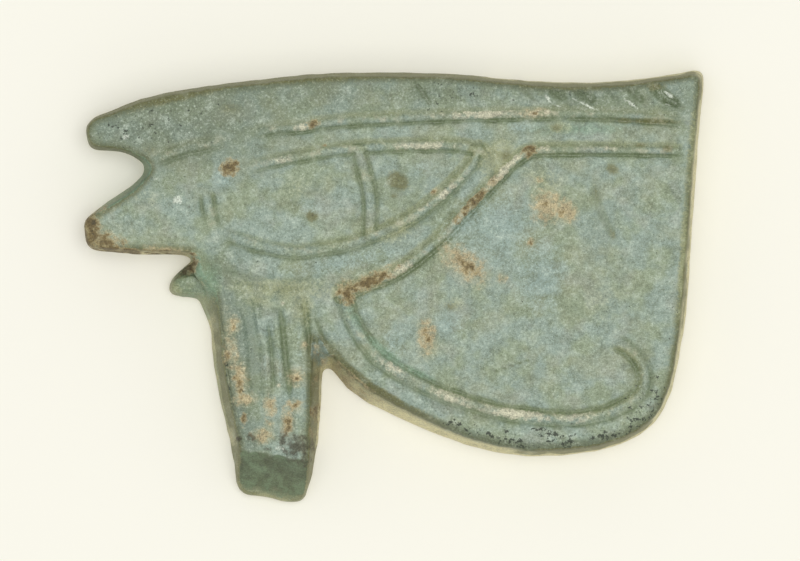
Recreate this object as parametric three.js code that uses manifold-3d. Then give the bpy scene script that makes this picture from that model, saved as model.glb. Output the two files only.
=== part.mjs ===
// A wedjat eye amulet in glazed composition, pressed in an open mould and pierced for a thread.
// It lies on its flat back: +X runs from the tip of the brow to its tall end, +Y towards the brow,
// and +Z out of the face. The origin is the middle of the outline's box, on the plane of the back.
// Lengths are in millimetres.
import * as THREE from "three";
import { mergeVertices } from "three/addons/utils/BufferGeometryUtils.js";
import Module from "manifold-3d";

const wasm = await Module();
wasm.setup();

// Overall size and wall
const LENGTH = 48; // tip of the brow to its tall end
const THICKNESS = 6; // flat back to plain face
const DRAFT = 0.6; // how far a wall of full draft leans in on its way up, so that the paste left the mould
const EDGE_ROUND = 0.55; // rounding between wall and face
const BACK_ROUND = 0.3; // rounding between wall and back

// Raised lines of the eye, each between two fine grooves
const RIDGE_WIDTH = 0.78;
const RIDGE_HEIGHT = 0.32; // above the plain face
const GROOVE_WIDTH = 0.34; // beyond each side of a ridge
const GROOVE_DEPTH = 0.3; // below the plain face
const LINE_FADE = 2.4; // length over which a worn line dies away
const FADED_START = 0.2; // how far past a line's end its fading would still run on, as a share of LINE_FADE
const FADED_WIDTH = 0.5; // share of its width that a line keeps where it has died away

// Broad swellings and cuts
const SWELL_HEIGHT = 0.2; // rise of the brow, the paint band, the cheek strip and the ribs of the foot
const SOFT_SPREAD = 1.5; // how much wider a soft form runs out than its listed width
const FURROW_DEPTH = 0.42; // grooves between the ribs of the foot
const HATCH_COUNT = 7; // hair strokes at the tall end of the brow
const HATCH_DEPTH = 0.14;
const HATCH_WIDTH = 0.5;
const HATCH_TIP = 0.4; // share of its width that a stroke has at its tips

// Thread hole and the broken lump of paste at its left mouth
const BORE_DIAMETER = 1.3;
const BORE_HEIGHT = 2.8; // axis above the back
const COLLAR_HEIGHT = 3.2; // top of the lump above the back
const COLLAR_ROUND = 0.5;
const COLLAR_DRAFT = 0.4; // share of DRAFT

// Sloping end of the foot
const TOE_HEIGHT = 1.5; // what is left of the wall at the toe

// Fineness of the facets
const TURN_PER_FACET = THREE.MathUtils.degToRad(12);
const EDGE_FACETS = 3;
const LINE_FACETS = 6; // across a ridge, a groove or a swelling
const HATCH_FACETS = 4;
const BORE_FACETS = 16;
const WALL_LEVELS = [0, 0.4, 0.75, 1]; // shares of the wall's height that have a ring of their own
const RIDGE_STEP = 1.0; // length of one facet along a ridge
const TROUGH_STEP = 1.27; // along its grooves, out of step with the ridge so that no two edges coincide
const SWELL_STEP = 1.9;
const FINEST = 0.008; // smallest step kept in the surface
const OVERRUN = 0.6; // how far an added form sinks below the face, and a cutter stands above it
const CLEARANCE = 0.02; // shift that keeps a fading form out of the plane of the face
const END_TRIM = 0.09; // how much shorter a ridge is than its grooves at each end
const CUTTER_FLARE = 1.15; // how much wider a groove's cutter is above the face
const ROOT_WIDTH = 0.8; // share of its width that a swelling has below the face
const MIDDLE_OF_ARC = 1 - Math.SQRT1_2; // inset and height of the middle of a quarter round

// Plan points are in thousandths of the length: x from the tip of the brow, y from the toe.
const SHARE = LENGTH / 1000;

// The outline at the back, anticlockwise from the tall end of the brow. Each point is a corner of a polygon
// with its corners rounded: the third number is how far the rounding reaches along both sides, and SMOOTH
// rounds it from the middle of one side to the middle of the next. draft is a share of DRAFT. The last two
// numbers, where given, are the way a hollowed wall leans there from back to face, in place of the draft.
const SMOOTH = Infinity;
const HOLLOWING = 1.5; // how much of a hollowed wall's lean is near its top: 1 is a straight slope
const OUTLINE = [
  { name: "tall end", draft: 0.75, points: [[1001, 700, 18]] },
  {
    name: "top of the brow",
    draft: 0.7,
    points: [
      [949, 691],
      [868, 679],
      [792, 675],
      [687, 681],
      [598, 692],
      [501, 693],
      [396, 692],
      [212, 672],
      [105, 655],
      [41, 630],
    ],
  },
  {
    name: "tip of the brow",
    draft: 0.5,
    points: [
      [-2, 615, 22],
      [3, 568, 16],
    ],
  },
  {
    name: "notch, upper side",
    draft: 0.5,
    points: [
      [41, 565],
      [75, 558],
    ],
  },
  {
    name: "notch, lower side",
    draft: 1.1,
    points: [
      [99, 539],
      [63, 503],
    ],
  },
  {
    name: "inner corner of the eye",
    draft: 0.4,
    points: [
      [-4, 456, 12],
      [1, 408, 18],
      [57, 402],
      [171, 399, 16, 8, 6],
    ],
  },
  {
    name: "left side of the foot",
    draft: 1.1,
    points: [
      [176, 366, SMOOTH, 38, 2],
      [178, 333, SMOOTH, 36, -4],
      [204, 286],
      [206, 242],
      [219, 165],
      [240, 81],
    ],
  },
  {
    name: "toe",
    draft: 0.6,
    points: [
      [244, 13, 24],
      [299, 8],
      [325, -2],
      [356, 0, 20],
      [369, 57],
    ],
  },
  {
    name: "right side of the foot",
    draft: 1.1,
    points: [
      [378, 116],
      [382, 216, 14, -14, 66],
    ],
  },
  {
    name: "lower side of the cheek",
    draft: 1.2,
    points: [
      [399, 216, 14, -20, 64],
      [429, 174, SMOOTH, -10, 32],
      [542, 119],
      [639, 81],
      [736, 68],
      [873, 87],
    ],
  },
  {
    name: "right side",
    draft: 0.9,
    points: [
      [942, 145],
      [965, 254],
      [976, 367],
      [988, 553],
    ],
  },
];

// The lump of paste beside the foot, as a polygon of the same kind
const COLLAR = [
  [196, 390, 10],
  [168, 388, 10],
  [135, 358, 14],
  [132, 338, 12],
  [150, 331, 14],
  [196, 328, 10],
];

// Raised lines. fade says which ends die away, and weight is a share of the ridge's height.
const RIDGES = [
  {
    name: "lower edge of the brow, left",
    fade: [true, true],
    weight: 0.8,
    through: [
      [101, 546],
      [130, 557],
      [167, 569],
      [205, 578],
      [240, 588],
    ],
  },
  {
    name: "lower edge of the brow",
    fade: [true, true],
    weight: 1,
    through: [
      [262, 594],
      [296, 600],
      [353, 607],
      [412, 614],
      [509, 618],
      [606, 624],
      [768, 627],
      [841, 624],
      [913, 619],
      [972, 613],
    ],
  },
  {
    name: "upper lid",
    fade: [true, false],
    weight: 0.9,
    through: [
      [250, 533],
      [286, 546],
      [332, 556],
      [380, 565],
      [429, 571],
      [493, 575],
      [558, 577],
      [606, 575],
      [641, 568],
    ],
  },
  {
    name: "outer side of the iris",
    fade: [false, false],
    weight: 0.6,
    through: [
      [442, 566],
      [447, 546],
      [456, 510],
      [461, 475],
      [461, 438],
    ],
  },
  {
    name: "inner side of the iris",
    fade: [false, false],
    weight: 0.45,
    through: [
      [195, 508],
      [198, 488],
      [203, 460],
      [208, 437],
    ],
  },
  {
    name: "lower lid",
    fade: [true, false],
    weight: 0.8,
    through: [
      [222, 434],
      [253, 422],
      [293, 411],
      [340, 405],
      [380, 410],
      [421, 418],
      [469, 434],
      [501, 446],
      [543, 470],
      [580, 499],
      [606, 523],
      [626, 545],
      [636, 570],
    ],
  },
  {
    name: "lower edge of the paint band and outer paint line",
    fade: [false, true],
    weight: 1.1,
    through: [
      [413, 339],
      [445, 352],
      [467, 361],
      [489, 367],
      [512, 382],
      [550, 406],
      [584, 436],
      [614, 470],
      [642, 506],
      [672, 536],
      [692, 552],
      [716, 566],
      [747, 570],
      [832, 571],
      [913, 570],
      [973, 567],
    ],
  },
  {
    name: "cheek line and its curl",
    fade: [false, true],
    weight: 1,
    through: [
      [416, 341],
      [424, 314],
      [437, 284],
      [451, 258],
      [469, 235],
      [493, 215],
      [519, 200],
      [545, 186],
      [574, 173],
      [614, 158],
      [655, 146],
      [703, 138],
      [752, 136],
      [808, 137],
      [849, 146],
      [881, 160],
      [899, 181],
      [902, 205],
      [894, 228],
      [876, 248],
      [848, 264],
    ],
  },
];

// Broad swellings: the third number is the width there, in thousandths of the length.
const SWELLINGS = [
  {
    name: "brow",
    through: [
      [22, 592, 30],
      [60, 606, 44],
      [120, 620, 58],
      [200, 630, 62],
      [348, 648, 62],
      [509, 656, 56],
      [671, 654, 38],
      [800, 650, 34],
      [900, 653, 40],
      [968, 660, 52],
    ],
  },
  {
    name: "paint band under the eye",
    through: [
      [196, 392, 26],
      [251, 386, 36],
      [307, 378, 38],
      [364, 378, 38],
      [421, 390, 36],
      [477, 404, 32],
      [526, 428, 26],
      [574, 462, 18],
      [614, 500, 14],
      [650, 538, 12],
    ],
  },
  {
    name: "cheek strip",
    through: [
      [396, 318, 24],
      [403, 291, 32],
      [417, 262, 34],
      [441, 226, 34],
      [474, 197, 34],
      [514, 170, 34],
      [561, 147, 32],
      [610, 130, 32],
      [671, 114, 32],
      [736, 108, 32],
      [800, 110, 30],
      [849, 120, 28],
      [886, 139, 28],
      [911, 165, 26],
      [925, 197, 22],
    ],
  },
  {
    name: "first rib of the foot",
    through: [
      [231, 330, 28],
      [239, 278, 36],
      [247, 213, 38],
      [255, 139, 36],
      [262, 92, 34],
    ],
  },
  {
    name: "fourth rib of the foot",
    through: [
      [330, 330, 30],
      [338, 278, 34],
      [344, 213, 34],
      [349, 139, 32],
      [350, 88, 28],
    ],
  },
];

// Grooves on their own: the third number is the width, depth is a share of FURROW_DEPTH.
const FURROWS = [
  {
    name: "beside the first rib",
    depth: 1,
    through: [
      [264, 322, 20],
      [270, 262, 24],
      [277, 197, 22],
      [280, 132, 14],
    ],
  },
  {
    name: "between the thin ribs",
    depth: 0.8,
    through: [
      [291, 290, 11],
      [301, 233, 12],
      [304, 165, 10],
    ],
  },
  {
    name: "beside the fourth rib",
    depth: 0.9,
    through: [
      [316, 296, 12],
      [324, 246, 14],
      [332, 170, 12],
    ],
  },
  {
    name: "between band and foot",
    depth: 0.75,
    through: [
      [188, 384, 14],
      [222, 362, 24],
      [283, 346, 20],
      [348, 342, 20],
      [404, 350, 16],
    ],
  },
  {
    name: "crease behind the notch",
    depth: 0.4,
    through: [
      [106, 524, 10],
      [140, 522, 14],
      [178, 522, 12],
    ],
  },
  {
    name: "lone stroke in the brow",
    depth: 0.4,
    through: [
      [537, 680, 8],
      [546, 662, 12],
      [562, 640, 8],
    ],
  },
];

// Strokes of hair in the brow, evenly spaced and slanting down to the right
const HATCH_FROM = [716, 664];
const HATCH_TO = [958, 662];
const HATCH_SLANT = [14, -17]; // half of one stroke

// Slope of the toe: two points of its upper edge on the face, and one low on the toe
const TOE_LEFT = [235, 99];
const TOE_RIGHT = [370, 73];
const TOE_LOW = [301, 4];

const BORE_ROW = 377; // y of the thread hole
const BORE_START = 120; // x clear of the lump
const BORE_END = 1030; // x clear of the right side

/** Moves corner points in by the given inset at each, along the mitre, and then by their lean. */
function insetCorners(corners, insetAt, leanShare) {
  return corners.map((corner, i) => {
    const before = corners.at(i - 1).point;
    const after = corners[(i + 1) % corners.length].point;
    const along = corner.point.clone().sub(before).normalize();
    const onward = after.clone().sub(corner.point).normalize();
    const inward = new THREE.Vector2(-along.y - onward.y, along.x + onward.x);
    const mitre = inward.multiplyScalar(1 / (1 + along.dot(onward)));
    const point = corner.point.clone().addScaledVector(mitre, insetAt(corner));
    return { ...corner, point: point.addScaledVector(corner.lean, leanShare) };
  });
}

/** How many facets each corner takes, from how far the outline turns there. */
function facetsPerCorner(corners) {
  return corners.map(({ point }, i) => {
    const along = point.clone().sub(corners.at(i - 1).point);
    const onward = corners[(i + 1) % corners.length].point.clone().sub(point);
    const turn = Math.abs(Math.atan2(along.cross(onward), along.dot(onward)));
    return Math.max(2, Math.round(turn / TURN_PER_FACET));
  });
}

/** The closed rounded polygon as points at one height. facets gives the same count for every ring of one form. */
function roundedRing(corners, facets, z) {
  const ring = [];
  corners.forEach(({ point, reach }, i) => {
    const ends = [corners.at(i - 1).point, corners[(i + 1) % corners.length].point].map((next) => {
      const side = next.clone().sub(point);
      return point.clone().addScaledVector(side, Math.min(reach / side.length(), 0.5));
    });
    const curve = new THREE.QuadraticBezierCurve(ends[0], point, ends[1]);
    for (let k = 0; k < facets[i]; k++) {
      const at = curve.getPoint((k + 0.5) / facets[i]);
      ring.push(new THREE.Vector3(at.x, at.y, z));
    }
  });
  return ring;
}

/** A ring's points in its own plane, for filling it in. */
function flattened(ring) {
  const normal = new THREE.Vector3();
  ring.forEach((a, i) => {
    const b = ring[(i + 1) % ring.length];
    normal.x += (a.y - b.y) * (a.z + b.z);
    normal.y += (a.z - b.z) * (a.x + b.x);
    normal.z += (a.x - b.x) * (a.y + b.y);
  });
  const turned = new THREE.Quaternion().setFromUnitVectors(normal.normalize(), new THREE.Vector3(0, 0, 1));
  return ring.map((p) => p.clone().applyQuaternion(turned)).map((p) => new THREE.Vector2(p.x, p.y));
}

/** A closed solid through rings of equal count, with both ends filled. */
function loft(rings) {
  const count = rings[0].length;
  const position = rings.flat().flatMap((p) => p.toArray());
  const index = [];
  for (let j = 0; j + 1 < rings.length; j++) {
    for (let i = 0; i < count; i++) {
      const [a, b] = [j * count + i, j * count + ((i + 1) % count)];
      index.push(a, b, b + count, a, b + count, a + count);
    }
  }
  const area = (t) => THREE.ShapeUtils.area(t);
  [rings[0], rings.at(-1)].forEach((ring, end) => {
    const flat = flattened(ring);
    const start = end * (rings.length - 1) * count;
    for (const [a, b, c] of THREE.ShapeUtils.triangulateShape(flat, [])) {
      const sameWay = area([flat[a], flat[b], flat[c]]) > 0;
      const [p, q, r] = sameWay === (end === 1) ? [a, b, c] : [a, c, b];
      index.push(start + p, start + q, start + r);
    }
  });
  const geometry = new THREE.BufferGeometry();
  geometry.setAttribute("position", new THREE.Float32BufferAttribute(position, 3));
  geometry.setIndex(index);
  return solid(geometry);
}

/** A closed three.js geometry as a solid, with its faces pointing out. */
function solid(geometry) {
  const bare = geometry.clone();
  bare.deleteAttribute("normal");
  bare.deleteAttribute("uv");
  const merged = mergeVertices(bare);
  const vertProperties = merged.attributes.position.array;
  const triVerts = Uint32Array.from(merged.index.array);
  const made = new wasm.Manifold(new wasm.Mesh({ numProp: 3, vertProperties, triVerts }));
  if (made.volume() > 0) return made;
  return new wasm.Manifold(new wasm.Mesh({ numProp: 3, vertProperties, triVerts: triVerts.reverse() }));
}

/** Rounded polygon corners in millimetres, from plan points. */
function cornersOf(points, draft = 0) {
  return points.map(([x, y, reach = SMOOTH, leanX, leanY]) => ({
    point: new THREE.Vector2(x, y).multiplyScalar(SHARE),
    reach: reach * SHARE,
    draft: leanX === undefined ? draft * DRAFT : 0,
    lean: new THREE.Vector2(leanX ?? 0, leanY ?? 0).multiplyScalar(SHARE),
  }));
}

/** A slab with a rounded lower edge, leaning walls and a rounded upper edge. */
function slab(corners, height, lowerRound, upperRound) {
  const facets = facetsPerCorner(corners);
  const rings = [];
  const addRing = (inset, wallShare, z) => {
    const insetAt = (corner) => inset + corner.draft * wallShare;
    rings.push(roundedRing(insetCorners(corners, insetAt, wallShare ** HOLLOWING), facets, z));
  };
  addRing(lowerRound, 0, 0);
  addRing(lowerRound * MIDDLE_OF_ARC, 0, lowerRound * MIDDLE_OF_ARC);
  for (const wallShare of WALL_LEVELS) {
    addRing(0, wallShare, THREE.MathUtils.lerp(lowerRound, height - upperRound, wallShare));
  }
  for (let k = 1; k <= EDGE_FACETS; k++) {
    const angle = (k / EDGE_FACETS) * (Math.PI / 2);
    addRing(upperRound * (1 - Math.cos(angle)), 1, height - upperRound + upperRound * Math.sin(angle));
  }
  return loft(rings);
}

/** Sweeps a section, given as pairs of across and up, along a line on the face, less the trim at both ends. */
function sweep(through, step, sectionAt, trim = 0) {
  const points = through.map(([x, y, width = 0]) => new THREE.Vector3(x * SHARE, y * SHARE, width * SHARE));
  const path = new THREE.CatmullRomCurve3(points, false, "centripetal");
  const length = path.getLength();
  const steps = Math.max(4, Math.round(length / step));
  const rings = [];
  for (let k = 0; k <= steps; k++) {
    const share = THREE.MathUtils.lerp(trim, length - trim, k / steps) / length;
    const at = path.getPointAt(share);
    const along = path.getTangentAt(share).setZ(0).normalize();
    const section = sectionAt(at.z, length * share, length);
    rings.push(
      section.map(
        ([across, up]) => new THREE.Vector3(at.x - along.y * across, at.y + along.x * across, THICKNESS + up),
      ),
    );
  }
  return loft(rings);
}

/** Half an oval above or below the face, closed on the other side of it. */
function halfOval(width, rise, facets, flare) {
  return closedSection(width, rise, flare, facets, (angle) => [Math.cos(angle), Math.sin(angle)]);
}

/** A swelling or a hollow that runs out smoothly into the face on both sides. */
function softWave(width, rise, flare) {
  return closedSection(width * SOFT_SPREAD, rise, flare, LINE_FACETS, (angle) => {
    const across = 1 - (2 * angle) / Math.PI;
    return [across, (1 + Math.cos(Math.PI * across)) / 2];
  });
}

/** A curve from side to side of a line, closed on the other side of the face. */
function closedSection(width, rise, flare, facets, shapeAt) {
  const section = [];
  for (let k = 0; k <= facets; k++) {
    const [across, up] = shapeAt((k / facets) * Math.PI);
    section.push([(width / 2) * across, rise * up - Math.sign(rise) * CLEARANCE]);
  }
  const closing = -Math.sign(rise) * OVERRUN;
  section.push([(-width / 2) * flare, closing], [(width / 2) * flare, closing]);
  return section;
}

/** A share that grows from nearly nothing to 1 over a line's fading ends. */
function fadeAt(distance, length, [atStart, atEnd]) {
  const grown = (from) => THREE.MathUtils.smoothstep(from, -LINE_FADE * FADED_START, LINE_FADE);
  return (atStart ? grown(distance) : 1) * (atEnd ? grown(length - distance) : 1);
}

/** A line's width where the given share of it is left. */
const fadedWidth = (width, share) => width * THREE.MathUtils.lerp(FADED_WIDTH, 1, share);

/** The raised bead of one line. */
function ridgeBead({ through, fade, weight }) {
  const sectionAt = (_, distance, length) => {
    const share = fadeAt(distance, length, fade);
    return halfOval(fadedWidth(RIDGE_WIDTH, share), RIDGE_HEIGHT * weight * share, LINE_FACETS, 1);
  };
  return sweep(through, RIDGE_STEP, sectionAt, END_TRIM);
}

/** The trough that leaves a fine groove on each side of a line's bead. */
function ridgeTrough({ through, fade }) {
  const sectionAt = (_, distance, length) => {
    const share = fadeAt(distance, length, fade);
    const width = fadedWidth(RIDGE_WIDTH + 2 * GROOVE_WIDTH, share);
    return halfOval(width, -GROOVE_DEPTH * share, LINE_FACETS, CUTTER_FLARE);
  };
  return sweep(through, TROUGH_STEP, sectionAt);
}

/** A broad swelling that dies away at both ends. */
function swelling({ through }) {
  return sweep(through, SWELL_STEP, (width, distance, length) => {
    return softWave(width, SWELL_HEIGHT * fadeAt(distance, length, [true, true]), ROOT_WIDTH);
  });
}

/** A groove on its own, which dies away at both ends. */
function furrow({ through, depth }) {
  return sweep(through, SWELL_STEP, (width, distance, length) => {
    return softWave(width, -FURROW_DEPTH * depth * fadeAt(distance, length, [true, true]), CUTTER_FLARE);
  });
}

/** The strokes of hair at the tall end of the brow, deepest in the middle of each. */
function hatching() {
  const cuts = [];
  for (let k = 0; k < HATCH_COUNT; k++) {
    const share = k / (HATCH_COUNT - 1 || 1);
    const middle = new THREE.Vector2(...HATCH_FROM).lerp(new THREE.Vector2(...HATCH_TO), share);
    const through = [-1, 0, 1].map((end) => [middle.x + end * HATCH_SLANT[0], middle.y + end * HATCH_SLANT[1]]);
    const sectionAt = (_, distance, length) => {
      const fullness = Math.sin((Math.PI * (distance + END_TRIM)) / (length + 2 * END_TRIM));
      const width = HATCH_WIDTH * THREE.MathUtils.lerp(HATCH_TIP, 1, fullness);
      return halfOval(width, -HATCH_DEPTH * fullness, HATCH_FACETS, CUTTER_FLARE);
    };
    cuts.push(sweep(through, SWELL_STEP, sectionAt));
  }
  return cuts;
}

/** The thread hole, from clear of the lump to clear of the right side. */
function threadHole() {
  const [from, to] = [BORE_START, BORE_END].map((x) => x * SHARE);
  const geometry = new THREE.CylinderGeometry(BORE_DIAMETER / 2, BORE_DIAMETER / 2, to - from, BORE_FACETS);
  geometry.rotateZ(Math.PI / 2);
  geometry.translate((from + to) / 2, BORE_ROW * SHARE, BORE_HEIGHT);
  return solid(geometry);
}

/** The block that leaves the toe's slope below it. */
function toeCutter() {
  const [left, right] = [TOE_LEFT, TOE_RIGHT].map(([x, y]) => new THREE.Vector3(x * SHARE, y * SHARE, THICKNESS));
  const low = new THREE.Vector3(TOE_LOW[0] * SHARE, TOE_LOW[1] * SHARE, TOE_HEIGHT);
  const across = right.clone().sub(left).normalize();
  const up = across.clone().cross(low.clone().sub(left)).normalize();
  if (up.z < 0) up.negate();
  const down = up.clone().cross(across);
  const reach = 2 * left.distanceTo(low) + 2 * left.distanceTo(right);
  const geometry = new THREE.BoxGeometry(reach, reach, THICKNESS);
  geometry.translate(0, 0, THICKNESS / 2);
  const middle = left.add(right).multiplyScalar(0.5);
  geometry.applyMatrix4(new THREE.Matrix4().makeBasis(across, down, up).setPosition(middle));
  return solid(geometry);
}

/** Joins or cuts one after another. */
const add = (base, forms) => forms.reduce((whole, form) => whole.add(form), base);
const cut = (base, forms) => forms.reduce((whole, form) => whole.subtract(form), base);

/** What is above the plain face and isn't a swelling. */
function aboveFace() {
  const layer = new THREE.BoxGeometry(LENGTH, LENGTH, OVERRUN).scale(2, 2, 1);
  return cut(solid(layer.translate(LENGTH / 2, LENGTH / 2, THICKNESS + OVERRUN / 2)), SWELLINGS.map(swelling));
}

/** The whole amulet as one solid, in plan coordinates. */
function amulet() {
  const corners = OUTLINE.flatMap(({ points, draft }) => cornersOf(points, draft));
  const plaque = slab(corners, THICKNESS + SWELL_HEIGHT, BACK_ROUND, EDGE_ROUND).subtract(aboveFace());
  const collar = slab(cornersOf(COLLAR, COLLAR_DRAFT), COLLAR_HEIGHT, BACK_ROUND, COLLAR_ROUND);
  const grooves = [...hatching(), ...RIDGES.map(ridgeTrough), ...FURROWS.map(furrow)];
  const carved = add(cut(plaque.add(collar), grooves), RIDGES.map(ridgeBead));
  return tidied(cut(carved, [toeCutter(), threadHole()]));
}

/** The main solid without the slivers that crossing forms leave, and without facets finer than FINEST. */
function tidied(whole) {
  const bodies = whole.simplify(FINEST).decompose();
  return bodies.reduce((largest, other) => (other.volume() > largest.volume() ? other : largest));
}

/** A solid as a geometry with its outline's box centred on the origin. */
function centred(whole) {
  const { vertProperties, triVerts } = whole.getMesh();
  const geometry = new THREE.BufferGeometry();
  geometry.setAttribute("position", new THREE.Float32BufferAttribute(vertProperties, 3));
  geometry.setIndex(Array.from(triVerts));
  geometry.computeBoundingBox();
  const middle = geometry.boundingBox.getCenter(new THREE.Vector3());
  geometry.translate(-middle.x, -middle.y, 0);
  geometry.computeVertexNormals();
  return geometry;
}

const faience = new THREE.MeshStandardMaterial({ color: 0x7f9c92, roughness: 0.6, metalness: 0 });
const wedjat = new THREE.Mesh(centred(amulet()), faience);
wedjat.name = "wedjat_amulet";

const group = new THREE.Group();
group.add(wedjat);
export default group;
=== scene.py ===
"""The looks of a wedjat eye amulet: pressed paste, carved lines, worn glaze and stains.

The solid is copied, its face is levelled, and the copy is remeshed and softened. The raised lines, the
ribs of the foot and the strokes of the brow are then carved again, finer than the solid holds them.
Lines and marks are placed by where they are seen from straight above, in pixels of an 800 x 561 view,
x from its left and y from its top. Lengths are in millimetres unless a name says otherwise.
"""

import logging
import math
from dataclasses import dataclass
from enum import Enum

import bpy
import numpy as np
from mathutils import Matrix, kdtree


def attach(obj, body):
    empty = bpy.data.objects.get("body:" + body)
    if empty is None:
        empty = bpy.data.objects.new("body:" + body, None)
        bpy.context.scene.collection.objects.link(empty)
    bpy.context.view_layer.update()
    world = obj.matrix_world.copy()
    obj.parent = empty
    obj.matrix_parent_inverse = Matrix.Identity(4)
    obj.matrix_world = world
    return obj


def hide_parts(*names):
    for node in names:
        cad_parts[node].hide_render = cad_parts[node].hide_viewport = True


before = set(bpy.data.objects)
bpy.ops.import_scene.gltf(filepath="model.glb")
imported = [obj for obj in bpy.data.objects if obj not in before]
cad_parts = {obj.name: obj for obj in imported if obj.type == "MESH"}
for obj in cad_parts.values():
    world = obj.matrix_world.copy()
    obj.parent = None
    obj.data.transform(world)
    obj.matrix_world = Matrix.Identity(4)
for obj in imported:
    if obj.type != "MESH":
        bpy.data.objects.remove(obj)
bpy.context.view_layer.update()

NODE = "wedjat_amulet"
BODY = "root"

MM = 0.001  # one millimetre in metres
FACE_HEIGHT = 6.0  # plain face above the back

# The view that the object is shown in, from straight above
VIEW_WIDTH = 800.0  # pixels
VIEW_HEIGHT = 561.0
CAMERA_AT = (0.45, 0.45, 550.0)
LENS = 318.4
SENSOR = 36.0
PIXEL = (CAMERA_AT[2] - FACE_HEIGHT) * SENSOR / (LENS * VIEW_WIDTH)  # one pixel on the face

log = logging.getLogger("wedjat")

Pair = tuple[float, float]
Triple = tuple[float, float, float]
Points = tuple[tuple[float, ...], ...]
Socket = bpy.types.NodeSocket
Feed = bpy.types.NodeSocket | float | tuple[float, ...]  # what the input of a shader node takes


class Stain(Enum):
    """What lies on the glaze in a patch, or the light and shade painted on it. The value is the name of its
    mesh attribute.
    """

    MOSS = "moss"
    YELLOW = "yellow"
    VERDURE = "verdure"
    OLIVE = "olive"
    TEAL = "teal"
    TAN = "tan"
    CREAM = "cream"
    RUST_AND_SHADE = "rust_and_shade"
    SOOT_AND_SHADE = "soot_and_shade"
    HIGHLIGHT_AND_FROST = "highlight_and_frost"
    SHADE_AND_DIRT = "shade_and_dirt"
    SPECKS = "specks"


class Form(Enum):
    """Which part of the relief a point is on. The value is the name of its mesh attribute."""

    GROOVE = "groove"
    CREST = "crest"
    OLIVE_LINE = "olive_line"
    WALL = "wall"
    TOE = "toe"
    RIM = "rim"
    SHOULDER = "shoulder"


@dataclass(frozen=True)
class RaisedLine:
    """One raised line of the eye between its two fine grooves.

    Attributes:
        name: What the line is on the eye.
        through: Where it runs, in the view's pixels.
        height: Share of the full bead height.
        fades: Millimetres over which its start and its end die away.
        left: Share of the full depth of the groove at its left, walking along it, which also sets how dark
            its pooled glaze and painted shade are.
        right: The same at its right.
        olive: How olive its crest is, at its start and at its end.
        size: Share of the full width, at its start and at its end.
    """

    name: str
    through: Points
    height: float = 1.0
    fades: Pair = (0.0, 0.0)
    left: float = 0.6
    right: float = 1.0
    olive: Pair = (0.6, 0.6)
    size: Pair = (1.0, 1.0)


@dataclass(frozen=True)
class SoftForm:
    """A swelling, furrow or stroke.

    Attributes:
        name: What it is on the eye.
        through: Where it runs and how wide it is there, in the view's pixels.
        lift: Its height in millimetres, below nought for a cut.
        fade: Millimetres over which both its ends die away.
        flat: Share of its width that is level.
        spread: How much wider it runs out than its listed width.
        pooled_and_shade: How thickly green glaze lies in it, painted dark enough to stand in for its shade.
    """

    name: str
    through: Points
    lift: float
    fade: float = 2.4
    flat: float = 0.0
    spread: float = 1.5
    pooled_and_shade: float = 0.0


@dataclass(frozen=True)
class Rough:
    """A rugged patch: an ellipse in the view's pixels, and its bumps' height and size in millimetres."""

    at: Pair
    half: Pair
    height: float
    size: float


@dataclass(frozen=True)
class Mark:
    """A patch on the glaze, as an ellipse in the view's pixels.

    Attributes:
        stain: What the patch is.
        at: Its middle.
        half: Its half length and half width.
        turn: Degrees that its length turns anticlockwise from level.
        strength: How thickly it covers the glaze.
        lift: Millimetres that the surface stands up there, below nought for a pit.
        on: The part of the relief that it keeps to, or none where it keeps to nothing.
    """

    stain: Stain
    at: Pair
    half: Pair
    turn: float
    strength: float
    lift: float = 0.0
    on: Form | None = None


@dataclass(frozen=True)
class Flare:
    """How far the walls stand out beyond the solid's near one place of the outline.

    Attributes:
        at: The place, in the view's pixels.
        foot: How far the wall's foot stands out, in pixels.
        rim: The same at its top edge.
    """

    at: Pair
    foot: float
    rim: float


@dataclass(frozen=True)
class Ramp:
    """A share that grows smoothly from nought at low to one at high."""

    low: float
    high: float

    def of(self, values: np.ndarray) -> np.ndarray:
        """The share at each value."""
        share = np.clip((values - self.low) / (self.high - self.low), 0.0, 1.0)
        return share * share * (3.0 - 2.0 * share)


@dataclass(frozen=True)
class Slump:
    """Paste that hangs out over a wall, as an ellipse in the view's pixels.

    Attributes:
        at: Its middle.
        half: Its half length and half width.
        push: How far it moves to the right and up, in pixels.
        height: Heights in millimetres between which it begins to move.
    """

    at: Pair
    half: Pair
    push: Pair
    height: Ramp


def patches(stain: Stain, *rows: tuple[float, ...], on: Form | None = None) -> tuple[Mark, ...]:
    """Makes marks of one stain.

    Args:
        stain: What the patches are.
        rows: For each its x, y, half length, half width, turn and strength, and its lift where it has one.
        on: The part of the relief that they keep to.

    Returns:
        One mark for each row.
    """
    return tuple(Mark(stain, row[:2], row[2:4], *row[4:], on=on) for row in rows)


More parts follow.
